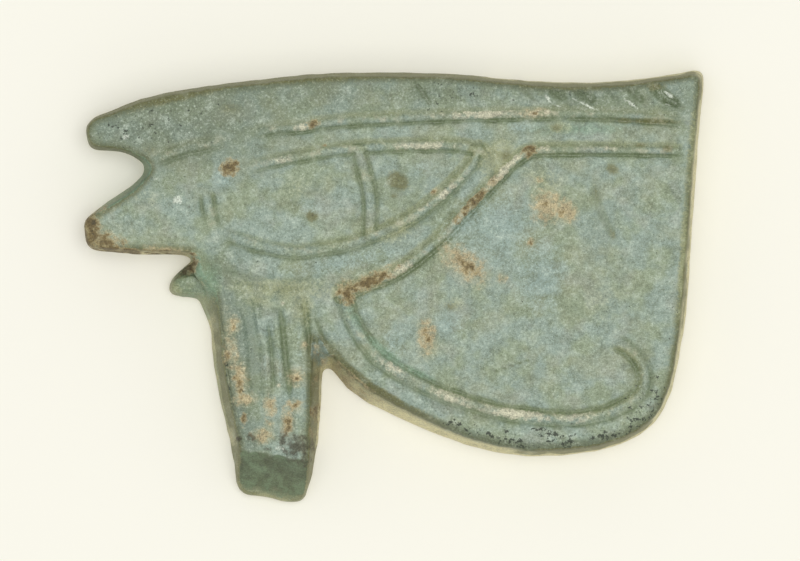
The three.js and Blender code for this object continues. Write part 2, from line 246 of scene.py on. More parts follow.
RAISED_LINES = (
    RaisedLine(
        "lower edge of the brow, left",
        ((147, 163), (165, 155.5), (188, 148), (211.5, 143), (233, 138.5)),
        height=0.8, fades=(2.0, 2.4), left=0.45, right=1.15, olive=(0.8, 0.9),
    ),
    RaisedLine(
        "lower edge of the brow",
        (
            (247, 134), (268, 130.3), (303, 126.5), (340, 121.5), (400, 118.2), (460, 115.7), (560, 113.5),
            (605, 114.5), (650, 117.5), (686, 120.5),
        ),
        fades=(2.0, 1.2), left=0.4, right=1.2, olive=(0.9, 0.7), size=(0.85, 0.85),
    ),
    RaisedLine(
        "upper lid",
        (
            (239.5, 172), (262, 164), (290, 158.3), (320, 152.8), (350, 148.5), (390, 146), (430, 144.8),
            (460, 145.6), (481.5, 150.4),
        ),
        height=0.9, fades=(2.4, 0.0), left=0.6, right=1.1, olive=(0.7, 1.0), size=(0.85, 1.0),
    ),
    RaisedLine(
        "outer side of the iris",
        ((359, 151.6), (362.2, 164), (368.2, 186.3), (370.7, 208), (369.5, 231)),
        height=0.65, left=1.05, right=1.1, olive=(0.6, 0.4), size=(1.1, 1.05),
    ),
    RaisedLine(
        "inner side of the iris",
        ((206, 187.5), (207.5, 200), (210.2, 217.3), (213.5, 231.5)),
        height=0.4, fades=(0.9, 0.9), left=1.0, right=1.0, olive=(0.9, 0.3), size=(0.95, 1.05),
    ),
    RaisedLine(
        "lower lid",
        (
            (222, 233.4), (241.3, 240.5), (266, 247.2), (295, 252), (320, 249), (346, 244.6),
            (375.5, 234.2), (395, 226), (420.8, 211), (443.7, 193), (459.5, 177.5), (471.7, 164),
            (478.4, 149.2),
        ),
        fades=(1.2, 0.0), left=0.65, right=1.0, olive=(0.2, 1.7),
    ),
    RaisedLine(
        "lower edge of the paint band and outer line",
        (
            (341.5, 294.5), (361, 286.2), (374.5, 280.6), (388, 276.4), (403.3, 267.3), (425.2, 250.7),
            (446.2, 232.1), (464.8, 211.3), (484.3, 191.5), (502.2, 172.5), (513.8, 161.7), (528, 152.3),
            (547, 149.9), (600, 149.7), (650, 150.4), (687, 151.5),
        ),
        fades=(0.0, 1.0), right=1.5, olive=(1.2, 0.9), size=(1.05, 0.78),
    ),
    RaisedLine(
        "cheek line and its curl",
        (
            (342.2, 291), (347.2, 307.6), (355.2, 326.2), (364.8, 341.7), (376, 355.7), (391.2, 367.7),
            (407, 377), (423, 385.2), (440.6, 393.7), (465.6, 402), (490.6, 409.6), (520.2, 415),
            (550.2, 418.2), (584.9, 417.9), (610.2, 411.8), (629, 402.4), (641.5, 391), (644.5, 377),
            (640.5, 362), (629, 349.5), (608, 339),
        ),
        fades=(0.0, 1.6), left=1.15, right=0.9, olive=(0.3, 1.4), size=(1.1, 1.05),
    ),
)

SOFT_FORMS = (
    SoftForm(
        "brow",
        (
            (98, 135.6, 19), (122, 127, 27), (159, 118, 36), (208, 112, 38), (300, 101, 38), (400, 96, 35),
            (500, 97, 24), (580, 100, 21), (642, 98, 25), (684, 93.5, 32),
        ),
        lift=0.2,
    ),
    SoftForm(
        "paint band under the eye",
        (
            (206, 259, 16), (240, 263, 22), (275, 268, 23), (310, 268, 23), (345, 261, 22), (380, 252, 20),
            (410, 237, 16), (440, 216, 11), (465, 192.5, 9), (487, 169, 7),
        ),
        lift=0.2,
    ),
    SoftForm(
        "cheek strip",
        (
            (330, 305, 15), (334, 322, 20), (343, 340, 21), (358, 362, 21), (378, 380, 21), (403, 397, 21),
            (432, 411, 20), (462, 421.5, 20), (500, 431.5, 20), (540, 435, 20), (580, 434, 18),
            (610, 427.5, 17), (633, 416, 17), (648.5, 400, 16), (657, 380, 14),
        ),
        lift=0.2, fade=2.4, flat=0.4, spread=1.3,
    ),
    SoftForm(
        "first rib of the foot",
        ((227, 298, 17), (234, 330, 21), (238, 370, 21), (243, 416, 22), (247, 445, 20)),
        lift=0.16, fade=1.2, flat=0.4, spread=1.25,
    ),
    SoftForm(
        "first thin rib of the foot",
        ((254.5, 297, 5), (258.5, 322, 5.5), (262, 337, 6), (266, 352, 6.5), (268, 400, 7)),
        lift=0.14, fade=0.8, flat=0.3, spread=1.4,
    ),
    SoftForm(
        "second thin rib of the foot",
        ((272.5, 316, 5), (276.5, 326, 6), (279, 360, 6.5), (281.5, 400, 7)),
        lift=0.12, fade=0.8, flat=0.3, spread=1.4,
    ),
    SoftForm(
        "fourth rib of the foot",
        ((289, 298, 16), (296, 330, 18), (300, 370, 19), (302, 416, 19), (302, 446, 17)),
        lift=0.16, fade=0.8, flat=0.4, spread=1.25,
    ),
    SoftForm(
        "furrow beside the first rib",
        ((245, 301, 12), (252.5, 338, 12), (255.5, 382, 13), (257, 404, 8)),
        lift=-0.24, fade=1.5, flat=0.45, spread=1.35, pooled_and_shade=0.45,
    ),
    SoftForm(
        "furrow between the thin ribs",
        ((267, 318, 4), (270.6, 343, 5), (272.3, 368, 5), (274, 394, 4)),
        lift=-0.26, fade=1.2, flat=0.1, spread=1.4, pooled_and_shade=0.8,
    ),
    SoftForm(
        "furrow beside the fourth rib",
        ((279, 302, 6), (282.5, 329, 8), (286.3, 366, 9), (289.5, 388, 7), (289, 403, 4)),
        lift=-0.22, fade=1.2, flat=0.1, spread=1.4, pooled_and_shade=1.0,
    ),
    SoftForm(
        "furrow between the foot and the cheek",
        ((303, 296, 7), (306, 314, 8), (309, 338, 7), (311, 356, 6)),
        lift=-0.32, fade=1.2, flat=0.1, spread=1.4, pooled_and_shade=0.9,
    ),
    SoftForm(
        "furrow beside the cheek strip",
        ((314, 312, 4), (321, 328, 6), (333, 346, 6), (342, 358, 4)),
        lift=-0.16, fade=0.9, flat=0.1, spread=1.4, pooled_and_shade=0.9,
    ),
    SoftForm(
        "furrow between band and foot",
        ((201, 264, 9), (222, 272, 11), (248, 279, 13), (280, 284, 14), (310, 281, 12), (335, 276, 8)),
        lift=-0.2, fade=2.0, flat=0.1, spread=1.6, pooled_and_shade=0.6,
    ),
    SoftForm(
        "crack along the foot",
        ((219, 304, 2.4), (222, 330, 2.4), (226, 362, 3), (230.5, 392, 3), (233, 424, 2.4)),
        lift=-0.16, fade=0.8, flat=0.0, spread=1.4, pooled_and_shade=1.6,
    ),
    SoftForm("crease behind the notch", ((150, 177.5, 6), (171.5, 179, 9), (195, 179, 7)), lift=-0.14),
    SoftForm(
        "lone stroke in the brow",
        ((413, 80, 4), (423, 93, 6), (432, 107, 4)),
        lift=-0.24, fade=0.4, pooled_and_shade=1.8,
    ),
    *(
        SoftForm(f"stroke {number} of the brow", places, lift=lift, fade=fade, pooled_and_shade=pooled_and_shade)
        for number, (places, lift, fade, pooled_and_shade) in enumerate(
            (
                (((442, 87, 5), (452, 95, 7), (463, 103, 4)), -0.14, 0.6, 1.0),
                (((521, 87, 5), (529, 95, 7), (538, 104, 4)), -0.12, 0.6, 0.9),
                (((549, 85, 15), (557, 92, 14), (568, 101, 7)), -0.26, 0.5, 1.7),
                (((574, 85, 15), (583, 93, 15), (597, 103, 8)), -0.28, 0.5, 1.9),
                (((604, 87, 7), (611, 94, 9), (620, 102, 4)), -0.12, 0.5, 0.7),
                (((627, 85, 11), (635, 94, 11), (645, 104, 5)), -0.2, 0.5, 1.4),
                (((650, 84, 13), (662, 94, 15), (681, 107, 9)), -0.3, 0.5, 2.2),
            ),
            start=1,
        )
    ),
    SoftForm(
        "furrow under the brow's tall end",
        ((596, 118, 6), (630, 120.5, 7), (655, 121.5, 8), (685, 122, 7)),
        lift=-0.04, fade=1.2, flat=0.3, spread=1.2, pooled_and_shade=0.75,
    ),
    *(
        SoftForm(f"ridge {where}", places, lift=lift, fade=0.4)
        for where, places, lift in (
            ("below stroke 3", ((543, 94, 3), (549, 101, 4), (558, 107, 3)), 0.16),
            ("below stroke 4", ((569, 96, 3), (580, 102.5, 4), (596, 109.5, 3)), 0.16),
            ("below stroke 6", ((624, 99, 3), (631, 103.5, 4), (640, 109, 3)), 0.16),
            ("below stroke 7", ((653, 100, 4), (664, 105, 5), (678, 109, 3)), 0.14),
            ("above stroke 7", ((663, 90, 3), (669, 95, 4), (676, 100, 3)), 0.15),
        )
    ),
    SoftForm(
        "hairline across the panel",
        ((487, 374, 2), (511, 366, 2), (535, 358, 2)),
        lift=-0.05, fade=0.5, pooled_and_shade=1.3,
    ),
    SoftForm(
        "dent right of the large stain",
        ((592, 176, 9), (595, 196, 11), (603, 216, 11), (618, 246, 9)),
        lift=-0.06, fade=1.2, flat=0.3, spread=1.5, pooled_and_shade=0.74,
    ),
    SoftForm(
        "crack between brow and lid",
        ((472, 131, 2), (478, 137, 2), (490, 139, 2)),
        lift=-0.06, fade=0.4, pooled_and_shade=0.7,
    ),
)

ROUGH_PATCHES = tuple(
    Rough((x, y), (length, width), height, size)
    for x, y, length, width, height, size in (
        (240, 408, 16, 34, 0.07, 0.6), (290, 425, 20, 26, 0.06, 0.55), (262, 436, 30, 12, 0.06, 0.5),
        (97, 236, 16, 16, 0.05, 0.5), (345, 290, 12, 12, 0.05, 0.5), (378, 279, 24, 8, 0.04, 0.5),
        (400, 94, 60, 14, 0.035, 0.7), (500, 97, 60, 16, 0.05, 0.6), (600, 98, 70, 14, 0.06, 0.55),
        (150, 130, 60, 26, 0.05, 0.6), (250, 110, 60, 22, 0.035, 0.7), (560, 440, 120, 10, 0.05, 0.6),
        (205, 282, 14, 18, 0.06, 0.6), (186, 284, 14, 12, 0.05, 0.5),
    )
)

FLARES = tuple(
    Flare((x, y), foot, rim)
    for x, y, foot, rim in (
        (86, 130, 0.6, 0.5), (98, 116, 2.4, 2.0), (140, 101, 2.2, 2.0), (184, 91, 2.4, 2.2),
        (230, 84, 2.3, 2.2), (275, 79, 2.3, 2.2), (320, 75, 2.3, 2.0), (365, 73, 1.2, 1.0),
        (410, 73, 0.7, 0.4), (450, 73, 0.7, 0.2), (500, 79, 1.2, 0.0), (550, 82, 1.0, 0.0),
        (600, 83, 1.2, 0.2), (640, 79, 0.4, 0.0), (690, 71, 0.3, 0.0), (700, 110, 0.0, 0.0),
        (692, 220, 0.0, 0.0), (685, 310, 0.6, 0.0), (676, 370, -0.4, 0.0), (640, 433, 0.0, 1.4),
        (560, 455, 0.0, 1.6), (610, 450, 0.2, 2.2), (470, 446, 0.2, 0.0), (420, 427, 0.6, 0.0),
        (397, 416, 1.4, 0.0), (370, 402, 2.0, 0.3), (350, 390, 2.0, 0.4), (322, 400, 0.0, 0.0),
        (314, 460, 0.4, 0.3), (309, 492, -0.8, -0.4), (270, 497, 1.2, 0.6), (236, 470, 0.8, 0.4),
        (231, 440, 2.2, 0.2), (225, 415, 2.0, 0.2), (219, 385, 2.6, -0.4), (214, 350, 2.4, -0.4),
        (209, 322, 1.2, 0.0), (196, 299, 0.8, 0.2), (172, 290, 0.0, 0.0), (172, 278, 0.6, 0.2),
        (150, 253, 0.8, 0.4), (95, 249, 0.8, 0.5), (85, 230, 0.1, 0.2), (110, 200, 0.8, 0.4),
        (140, 172, -0.8, 0.0), (120, 154, -2.2, 0.0), (98, 151, -1.6, 0.0),
    )
)

SLUMPS = (
    Slump((204, 276), (15, 15), (-16.0, 1.0), Ramp(3.4, 5.0)),
    Slump((322, 342), (13, 16), (0.0, -13.0), Ramp(3.0, 5.0)),
)

MARKS = (
    *patches(
        Stain.MOSS,
        (405, 182, 40, 24, 10, 0.5), (180, 284, 16, 16, 0, 1.0), (205, 275, 13, 26, 8, 0.9, -0.35),
    ),
    *patches(
        Stain.YELLOW,
        (285, 289, 50, 9, -2, 0.85), (303, 306, 9, 16, 0, 0.9), (258, 300, 22, 14, 0, 0.6),
        (400, 232, 26, 9, 30, 0.7), (600, 300, 70, 60, 10, 0.3), (560, 128, 12, 6, 0, 0.8),
        (455, 305, 14, 10, 0, 0.6), (545, 180, 26, 16, -20, 0.6), (515, 200, 8, 24, 0, 0.5),
        (150, 200, 30, 16, 0, 0.4), (300, 190, 40, 26, 0, 0.45), (174, 290, 7, 5, -50, 1.0),
        (275, 494, 50, 16, -4, 1.0), (497, 158, 12, 9, 45, 1.2),
    ),
    *patches(Stain.YELLOW, (684, 270, 9, 90, 4, 0.9), (694, 150, 9, 70, 2, 0.7), on=Form.RIM),
    *patches(
        Stain.YELLOW,
        (202, 304, 8, 8, 0, 1.0), (272, 498, 52, 12, -6, 1.3), (222, 380, 20, 90, 0, 0.9),
        on=Form.WALL,
    ),
    *patches(
        Stain.VERDURE,
        (575, 129, 64, 7, 0, 0.8), (212, 281, 11, 24, 0, 0.8), (354, 318, 6, 26, 32, 0.8),
        (386, 353, 22, 4, -40, 1.1), (420, 374, 20, 4, -25, 0.9),
    ),
    *patches(Stain.VERDURE, (128, 180, 34, 26, 40, 1.5), (208, 286, 14, 18, 0, 1.5), on=Form.WALL),
    *patches(
        Stain.OLIVE,
        (188, 286, 12, 8, 0, 0.5), (612, 169, 7, 5, -20, 0.95), (596, 192, 4, 14, 12, 0.65),
        (613, 234, 5, 9, 28, 0.7), (312, 216, 3, 3, 0, 1.5), (398, 181, 5.5, 4.5, -30, 1.5),
        (394, 196, 5, 4, 0, 0.8), (556, 128, 7, 5, 0, 0.8), (506, 155, 8, 6, 45, 0.8),
        (450, 307, 8, 6, 0, 0.75), (230, 108, 22, 12, 0, 0.6), (150, 150, 14, 10, 0, 0.6),
        (668, 149, 7, 6, 0, 0.8), (640, 145, 8, 3, 0, 0.8), (570, 86, 44, 4, 0, 0.95),
        (180, 96, 60, 5, 14, 0.95), (300, 80, 80, 4, 2, 0.85), (655, 86, 10, 5, 0, 0.9),
        (645, 121, 50, 4, -2, 0.8),
    ),
    *patches(Stain.OLIVE, (378, 388, 66, 40, -36, 0.9), on=Form.RIM),
    *patches(
        Stain.OLIVE,
        (315, 420, 12, 56, 0, 1.1), (690, 290, 12, 80, 4, 0.85), (604, 446, 50, 14, 10, 1.3),
        (580, 80, 150, 16, 0, 1.2), (222, 375, 24, 80, 0, 1.0),
        on=Form.SHOULDER,
    ),
    *patches(
        Stain.OLIVE,
        (230, 82, 190, 26, 7, 1.5), (90, 128, 26, 26, 0, 1.5), (275, 470, 50, 19, 0, 1.3),
        on=Form.WALL,
    ),
    *patches(
        Stain.TEAL,
        (265, 365, 3, 32, 4, 0.5), (280, 372, 3, 28, 4, 0.5), (300, 350, 8, 60, 4, 0.4),
        (345, 262, 64, 10, 10, 0.7), (490, 230, 36, 30, 20, 0.9), (540, 275, 20, 30, 0, 0.9),
        (448, 325, 22, 20, 0, 0.6), (395, 342, 16, 12, -40, 0.7), (420, 170, 26, 14, 30, 0.5),
        (310, 205, 24, 16, 0, 0.5), (222, 180, 9, 7, 0, 0.9), (540, 360, 8, 8, 0, 0.6),
        (520, 128, 14, 6, 0, 0.7),
    ),
    *patches(Stain.TEAL, (321, 350, 8, 13, 0, 1.0), on=Form.WALL),
    *patches(
        Stain.TAN,
        (233, 325, 6, 8, 0, 0.95), (231, 350, 10, 50, 5, 0.65), (227, 356, 5, 8, 0, 0.9),
        (241, 378, 7, 14, 8, 0.9), (244, 399, 10, 6, 0, 0.95), (270, 406, 5, 9, 4, 1.0),
        (269, 424, 5, 7, 0, 0.75), (262, 436, 8, 6, 10, 1.05), (296, 377, 7, 7, 0, 1.0),
        (294, 406, 7, 6, 0, 0.95), (288, 422, 6, 12, 0, 0.95), (304, 345, 4, 5, 0, 0.8),
        (318, 348, 6, 4, 0, 0.9), (195, 261, 5, 4, -30, 0.95), (436, 192, 7, 5, 30, 0.7),
        (534, 113, 18, 5, 0, 0.85), (103, 207, 6, 4, 30, 0.9), (547, 206, 11, 11, 0, 1.15),
        (566, 211, 10, 8, -60, 1.05), (539, 180, 5, 4, 0, 0.8), (531, 243, 6, 6, 0, 0.75),
        (450, 252, 8, 6, 0, 0.8), (465, 264, 22, 12, -40, 1.0), (502, 278, 7, 6, 0, 0.75),
        (427, 337, 8, 15, 0, 1.0), (168, 250, 22, 4, -8, 0.85), (345, 291, 10, 13, 0, 0.8),
        (372, 280, 30, 9, 24, 0.8), (497, 157, 7, 5, 45, 0.6),
    ),
    *patches(Stain.TAN, (494, 180, 9, 6, 45, 1.0), on=Form.CREST),
    *patches(Stain.TAN, (344, 380, 34, 24, -40, 0.8), on=Form.WALL),
    *patches(
        Stain.CREAM,
        (280, 385, 3, 5, 0, 0.85), (283, 303, 5, 4, 0, 0.7), (362, 285, 6, 3, 24, 1.05),
        (610, 148, 9, 3, 0, 0.85), (546, 149, 6, 3, 0, 0.9), (636, 148, 8, 3, 0, 0.5),
    ),
    *patches(
        Stain.CREAM,
        (301, 127, 10, 6, 4, 0.9), (482, 113, 32, 6, 0, 0.95), (540, 113, 20, 6, 0, 0.75),
        (281, 160, 12, 6, 10, 0.8), (424, 146, 40, 6, 0, 0.75), (400, 269, 18, 7, 34, 0.85),
        (505, 170, 26, 7, 48, 0.9), (445, 193, 40, 7, 40, 0.75), (394, 369, 24, 7, -36, 0.75),
        (450, 397, 26, 7, -18, 0.8), (518, 414, 32, 7, -5, 0.95), (574, 417, 20, 7, 2, 0.8),
        on=Form.CREST,
    ),
    *patches(
        Stain.RUST_AND_SHADE,
        (234, 327, 3, 4, 0, 0.75), (227, 359, 4, 5, 0, 0.8), (240, 386, 6, 15, 10, 0.75),
        (244, 419, 4, 8, 0, 0.75), (271, 408, 2.5, 5, 0, 0.75), (297, 379, 3, 3, 0, 0.8),
        (295, 405, 5, 4, 20, 0.85), (288, 423, 3.5, 8, 0, 0.95), (531, 244, 2.5, 3.2, 0, 0.85),
        (500, 279, 3.2, 2.5, 0, 0.7), (434, 192, 3, 3, 0, 0.75), (540, 180, 3, 2, 0, 0.7),
        # The first patch on the next line, at (190, 268), is painted shade in the hollow above the lump
        (190, 268, 8, 5, 42, 0.9), (229.5, 167.5, 5, 4.5, 0, 1.35, -0.03), (313, 124, 6, 4, 10, 0.9),
        (325, 146, 5, 3, 0, 0.55), (536, 113, 14, 4, 0, 0.5), (529, 152, 7, 5, 20, 0.95),
        (347, 293, 7, 9, 0, 1.0, 0.03), (370, 281, 26, 6.5, 24, 0.9, 0.02), (468, 266, 14, 7, -40, 0.85),
        (427, 337, 5, 11, 0, 0.75), (90, 229, 8, 17, 10, 1.05, 0.03), (106, 242, 16, 8, -14, 0.95),
        (545, 204, 6, 5, 0, 0.7), (562, 213, 8, 4, 30, 0.65),
    ),
    *patches(Stain.RUST_AND_SHADE, (473, 202, 26, 6, 44, 0.9), on=Form.CREST),
    *patches(
        Stain.RUST_AND_SHADE,
        (316, 420, 12, 50, 0, 0.5), (120, 248, 54, 14, 0, 0.95), (86, 234, 14, 18, 0, 1.1),
        on=Form.WALL,
    ),
    *patches(
        Stain.SOOT_AND_SHADE,
        (297, 446, 19, 14, -8, 0.95), (283, 441, 8, 7, 0, 0.9), (304, 461, 9, 5, 0, 1.0),
        (253, 439, 8, 6, 0, 0.85), (238, 439, 5, 6, 0, 0.85), (268, 449, 12, 3, 8, 0.8),
        # The patch at (185, 270) on the next line is painted shade in the hollow above the lump
        (264, 330, 3, 3, 0, 0.8), (185, 270, 9, 4, 42, 1.1), (93, 222, 4, 5, 0, 0.7),
        (312, 216, 2, 2, 0, 1.0), (189, 206, 3, 3, 0, 0.75), (650, 405, 9, 6, 0, 0.6),
    ),
    # Painted highlights along the ridges beside the brow's strokes, where their slopes would catch the light,
    # and pale frost specks elsewhere
    *patches(
        Stain.HIGHLIGHT_AND_FROST,
        (257, 309, 3, 12, 12, 0.6), (277, 449, 6, 4, 0, 0.8), (548.5, 99.5, 6, 1.2, -48, 1.1),
        (558, 106.5, 5, 1.2, -12, 0.9), (576, 100.5, 5, 1.2, -30, 0.95), (587, 105.5, 9, 1.3, -25, 1.0),
        (632, 104.5, 6, 1.2, -33, 1.2), (668, 94, 5, 1.2, -36, 1.2), (666, 104, 9, 0.9, -14, 0.85),
        (605, 106, 5, 1, -20, 0.75), (622, 91, 4, 3, 0, 0.6), (569, 92, 3, 3, 0, 0.6),
        (515, 100, 9, 5, -30, 0.55), (640, 130, 30, 4, 0, 0.5), (676, 128, 10, 6, 0, 0.55),
        (125, 137, 5, 3, 0, 0.85), (116, 146, 4, 3, 0, 0.75), (150, 134, 4, 3, 0, 0.75),
        (178, 200, 5, 5, 0, 0.8), (436, 104, 9, 2, 10, 0.7), (178, 200, 4, 3, -50, 0.8),
        (250, 205, 9, 7, 0, 0.5), (292, 200, 8, 6, 0, 0.45), (155, 178, 8, 4, 0, 0.5),
    ),
    # Darker patches of painted shade and dirt together, over the brow, whose slopes fall towards the top
    # edge, and in places on the face
    *patches(
        Stain.SHADE_AND_DIRT,
        (178, 116, 90, 40, 8, 1.2), (300, 92, 130, 26, 2, 0.9), (225, 98, 40, 16, 0, 0.9),
        (430, 92, 90, 24, 0, 0.85), (590, 96, 100, 24, 0, 0.85), (600, 150, 110, 6, 0, 0.5),
        (418, 184, 44, 24, 0, 0.45), (280, 205, 60, 30, 0, 0.35), (676, 100, 26, 34, 0, 0.8),
        (600, 230, 26, 50, -10, 0.5), (640, 370, 30, 50, 0, 0.5), (236, 375, 14, 76, 5, 1.2),
        (575, 129, 70, 9, 0, 0.6), (400, 182, 44, 30, 10, 0.55),
    ),
    # Darker patches of painted shade and dirt along the rim
    *patches(
        Stain.SHADE_AND_DIRT,
        (230, 84, 200, 30, 7, 1.1), (560, 84, 140, 20, 0, 1.2), (540, 440, 150, 40, 0, 1.1),
        (360, 375, 60, 50, -40, 0.8),
        on=Form.RIM,
    ),
    *patches(
        Stain.SPECKS,
        (540, 444, 95, 7, 0, 0.6), (462, 426, 16, 3, -20, 1.3), (492, 436, 7, 2, -30, 1.5),
        (516, 441, 5, 2, -35, 2.3), (558, 441, 7, 2, -30, 2.5), (572, 434, 2, 4, 0, 1.8),
        (606, 436, 7, 2, 5, 2.0), (636, 428, 10, 4, 35, 1.5), (227, 390, 3, 44, 6, 1.2),
        (655, 412, 36, 30, 45, 0.9), (660, 110, 34, 40, 0, 0.4), (130, 128, 60, 26, 8, 0.75),
        (160, 178, 40, 16, 0, 0.4), (460, 92, 50, 20, 0, 0.7), (240, 400, 16, 60, 0, 0.4),
        (676, 290, 14, 100, 0, 0.5),
    ),
)

@dataclass(frozen=True)
class Waves:
    """Soft random waves over the plan.

    Attributes:
        size: Length of one wave in millimetres.
        seed: Picks the waves.
        height: What they mostly stay within, above and below nought.
        count: How many waves are summed.
        spread: The shortest and the longest wave, as shares of the size.
    """

    size: float
    seed: int
    height: float = 1.0
    count: int = 32
    spread: Pair = (0.7, 1.6)

    def over(self, places: np.ndarray) -> np.ndarray:
        """Their height at each place of the plan.

        Args:
            places: Plan positions in millimetres.

        Returns:
            One height for each place.
        """
        random = np.random.default_rng(self.seed)
        turns = random.uniform(0.0, math.tau, self.count)
        pitches = math.tau / (self.size * random.uniform(*self.spread, self.count))
        shifts = random.uniform(0.0, math.tau, self.count)
        total = np.zeros(len(places))
        for turn, pitch, shift in zip(turns, pitches, shifts):
            total += np.cos(pitch * (places[:, 0] * math.cos(turn) + places[:, 1] * math.sin(turn)) + shift)
        return self.height * (total / math.sqrt(2.0 * self.count))


@dataclass(frozen=True)
class ToeSlope:
    """The sloping end of the foot, as a plane through three points."""

    left: Triple = (-12.638, -11.958, 6.0)
    right: Triple = (-6.158, -13.206, 6.0)
    low: Triple = (-9.47, -16.518, 1.5)

    def height(self, places: np.ndarray) -> np.ndarray:
        """Its height at each place of the plan.

        Args:
            places: Plan positions in millimetres.

        Returns:
            One height for each place.
        """
        left, right, low = (np.array(point) for point in (self.left, self.right, self.low))
        normal = np.cross(right - left, low - left)
        return left[2] - ((places - left[:2]) @ normal[:2]) / normal[2]


def on_face(points: Points) -> np.ndarray:
    """Places on the face that are seen at the given pixels.

    Args:
        points: Rows of x and y in the view's pixels, and a width in pixels where there is one.

    Returns:
        The rows in millimetres.
    """
    rows = np.array(points, dtype=float)
    rows[:, 0] = CAMERA_AT[0] + (rows[:, 0] - VIEW_WIDTH / 2.0) * PIXEL
    rows[:, 1] = CAMERA_AT[1] - (rows[:, 1] - VIEW_HEIGHT / 2.0) * PIXEL
    rows[:, 2:] *= PIXEL
    return rows


def ellipse_radius(places: np.ndarray, at: Pair, half: Pair, turn: float = 0.0) -> np.ndarray:
    """How far out each place is in an ellipse of the view, with one on its edge.

    Args:
        places: Plan positions in millimetres.
        at: The ellipse's middle in the view's pixels.
        half: Its half length and half width in pixels.
        turn: Degrees that its length turns anticlockwise from level.

    Returns:
        One radius for each place.
    """
    offset = (places - on_face((at,))[0]) / PIXEL
    angle = math.radians(turn)
    length = offset[:, 0] * math.cos(angle) + offset[:, 1] * math.sin(angle)
    width = offset[:, 1] * math.cos(angle) - offset[:, 0] * math.sin(angle)
    return np.hypot(length / half[0], width / half[1])


class Trace:
    """A smooth line through knots, measured by its nearest point."""

    STEP = 0.05  # between its points
    LEAST_GAP = 1e-6  # between two knots
    CHUNK = 4096  # places measured at once
    OVERRUN = 0.2  # how far a form that dies away runs on past the line's end, as a share of its fade

    def __init__(self, knots: np.ndarray) -> None:
        """Lays a centripetal curve through the knots.

        Args:
            knots: Rows of x and y in millimetres, and a width where the form has one.
        """
        ends = (2 * knots[0] - knots[1], 2 * knots[-1] - knots[-2])
        padded = np.vstack([ends[0], knots, ends[1]])
        pieces = [self._span(padded[i : i + 4]) for i in range(len(knots) - 1)]
        rows = np.vstack([*pieces, knots[-1:]])
        self.places = rows[:, :2]
        self.widths = rows[:, 2] if rows.shape[1] > 2 else None
        steps = np.diff(self.places, axis=0)
        self.arc = np.concatenate([[0.0], np.cumsum(np.hypot(steps[:, 0], steps[:, 1]))])
        along = np.gradient(self.places, axis=0)
        self.along = along / np.hypot(along[:, 0], along[:, 1])[:, None]

    def _span(self, knots: np.ndarray) -> np.ndarray:
        """The points between the second and the third of four knots.

        Args:
            knots: Four rows, as the line's own.

        Returns:
            Rows of the same kind, from the second knot to just before the third.
        """
        gaps = np.maximum(np.hypot(*np.diff(knots[:, :2], axis=0).T), self.LEAST_GAP)
        times = np.concatenate([[0.0], np.cumsum(np.sqrt(gaps))])
        count = max(2, round(gaps[1] / self.STEP))
        t = np.linspace(times[1], times[2], count, endpoint=False)[:, None]

        def blend(first: np.ndarray, second: np.ndarray, start: float, end: float) -> np.ndarray:
            """A mix of two rows that goes from the first at start to the second at end."""
            return (first * (end - t) + second * (t - start)) / (end - start)

        lower = [blend(knots[k], knots[k + 1], times[k], times[k + 1]) for k in range(3)]
        middle = [blend(lower[k], lower[k + 1], times[k], times[k + 2]) for k in range(2)]
        return blend(middle[0], middle[1], times[1], times[2])

    def measure(self, places: np.ndarray, reach: float) -> tuple[np.ndarray, np.ndarray, np.ndarray]:
        """Measures places against the line.

        Args:
            places: Plan positions in millimetres.
            reach: How far from the line a place still counts.

        Returns:
            The rows of the places that count, how far each lies to the left of the line (right is below
            nought), and the row of the line's nearest point.
        """
        low = self.places.min(0) - reach
        high = self.places.max(0) + reach
        rows = np.flatnonzero(((places > low) & (places < high)).all(1))
        nearest = np.empty(len(rows), dtype=int)
        for start in range(0, len(rows), self.CHUNK):
            part = places[rows[start : start + self.CHUNK]]
            gaps = part[:, None, :] - self.places[None, :, :]
            nearest[start : start + self.CHUNK] = (gaps**2).sum(2).argmin(1)
        gap = places[rows] - self.places[nearest]
        side = self.along[nearest, 0] * gap[:, 1] - self.along[nearest, 1] * gap[:, 0]
        distance = np.hypot(gap[:, 0], gap[:, 1])
        inner = (nearest > 0) & (nearest < len(self.places) - 1)
        across = np.where(inner, side, np.copysign(distance, side))
        close = distance < reach
        return rows[close], across[close], nearest[close]

    def fading(self, nearest: np.ndarray, fades: Pair) -> np.ndarray:
        """The share of a form's height that is left at the line's given points.

        Args:
            nearest: Rows of the line's points.
            fades: Millimetres over which the line's start and its end die away.

        Returns:
            One share for each row.
        """
        arc = self.arc[nearest]
        share = np.ones(len(nearest))
        for distance, fade in ((arc, fades[0]), (self.arc[-1] - arc, fades[1])):
            if fade > 0:
                share *= Ramp(-self.OVERRUN * fade, fade).of(distance)
        return share

    def between_ends(self, nearest: np.ndarray, ends: Pair) -> np.ndarray:
        """A value that goes evenly from one end of the line to the other, at the line's given points."""
        share = self.arc[nearest] / self.arc[-1]
        return ends[0] + (ends[1] - ends[0]) * share


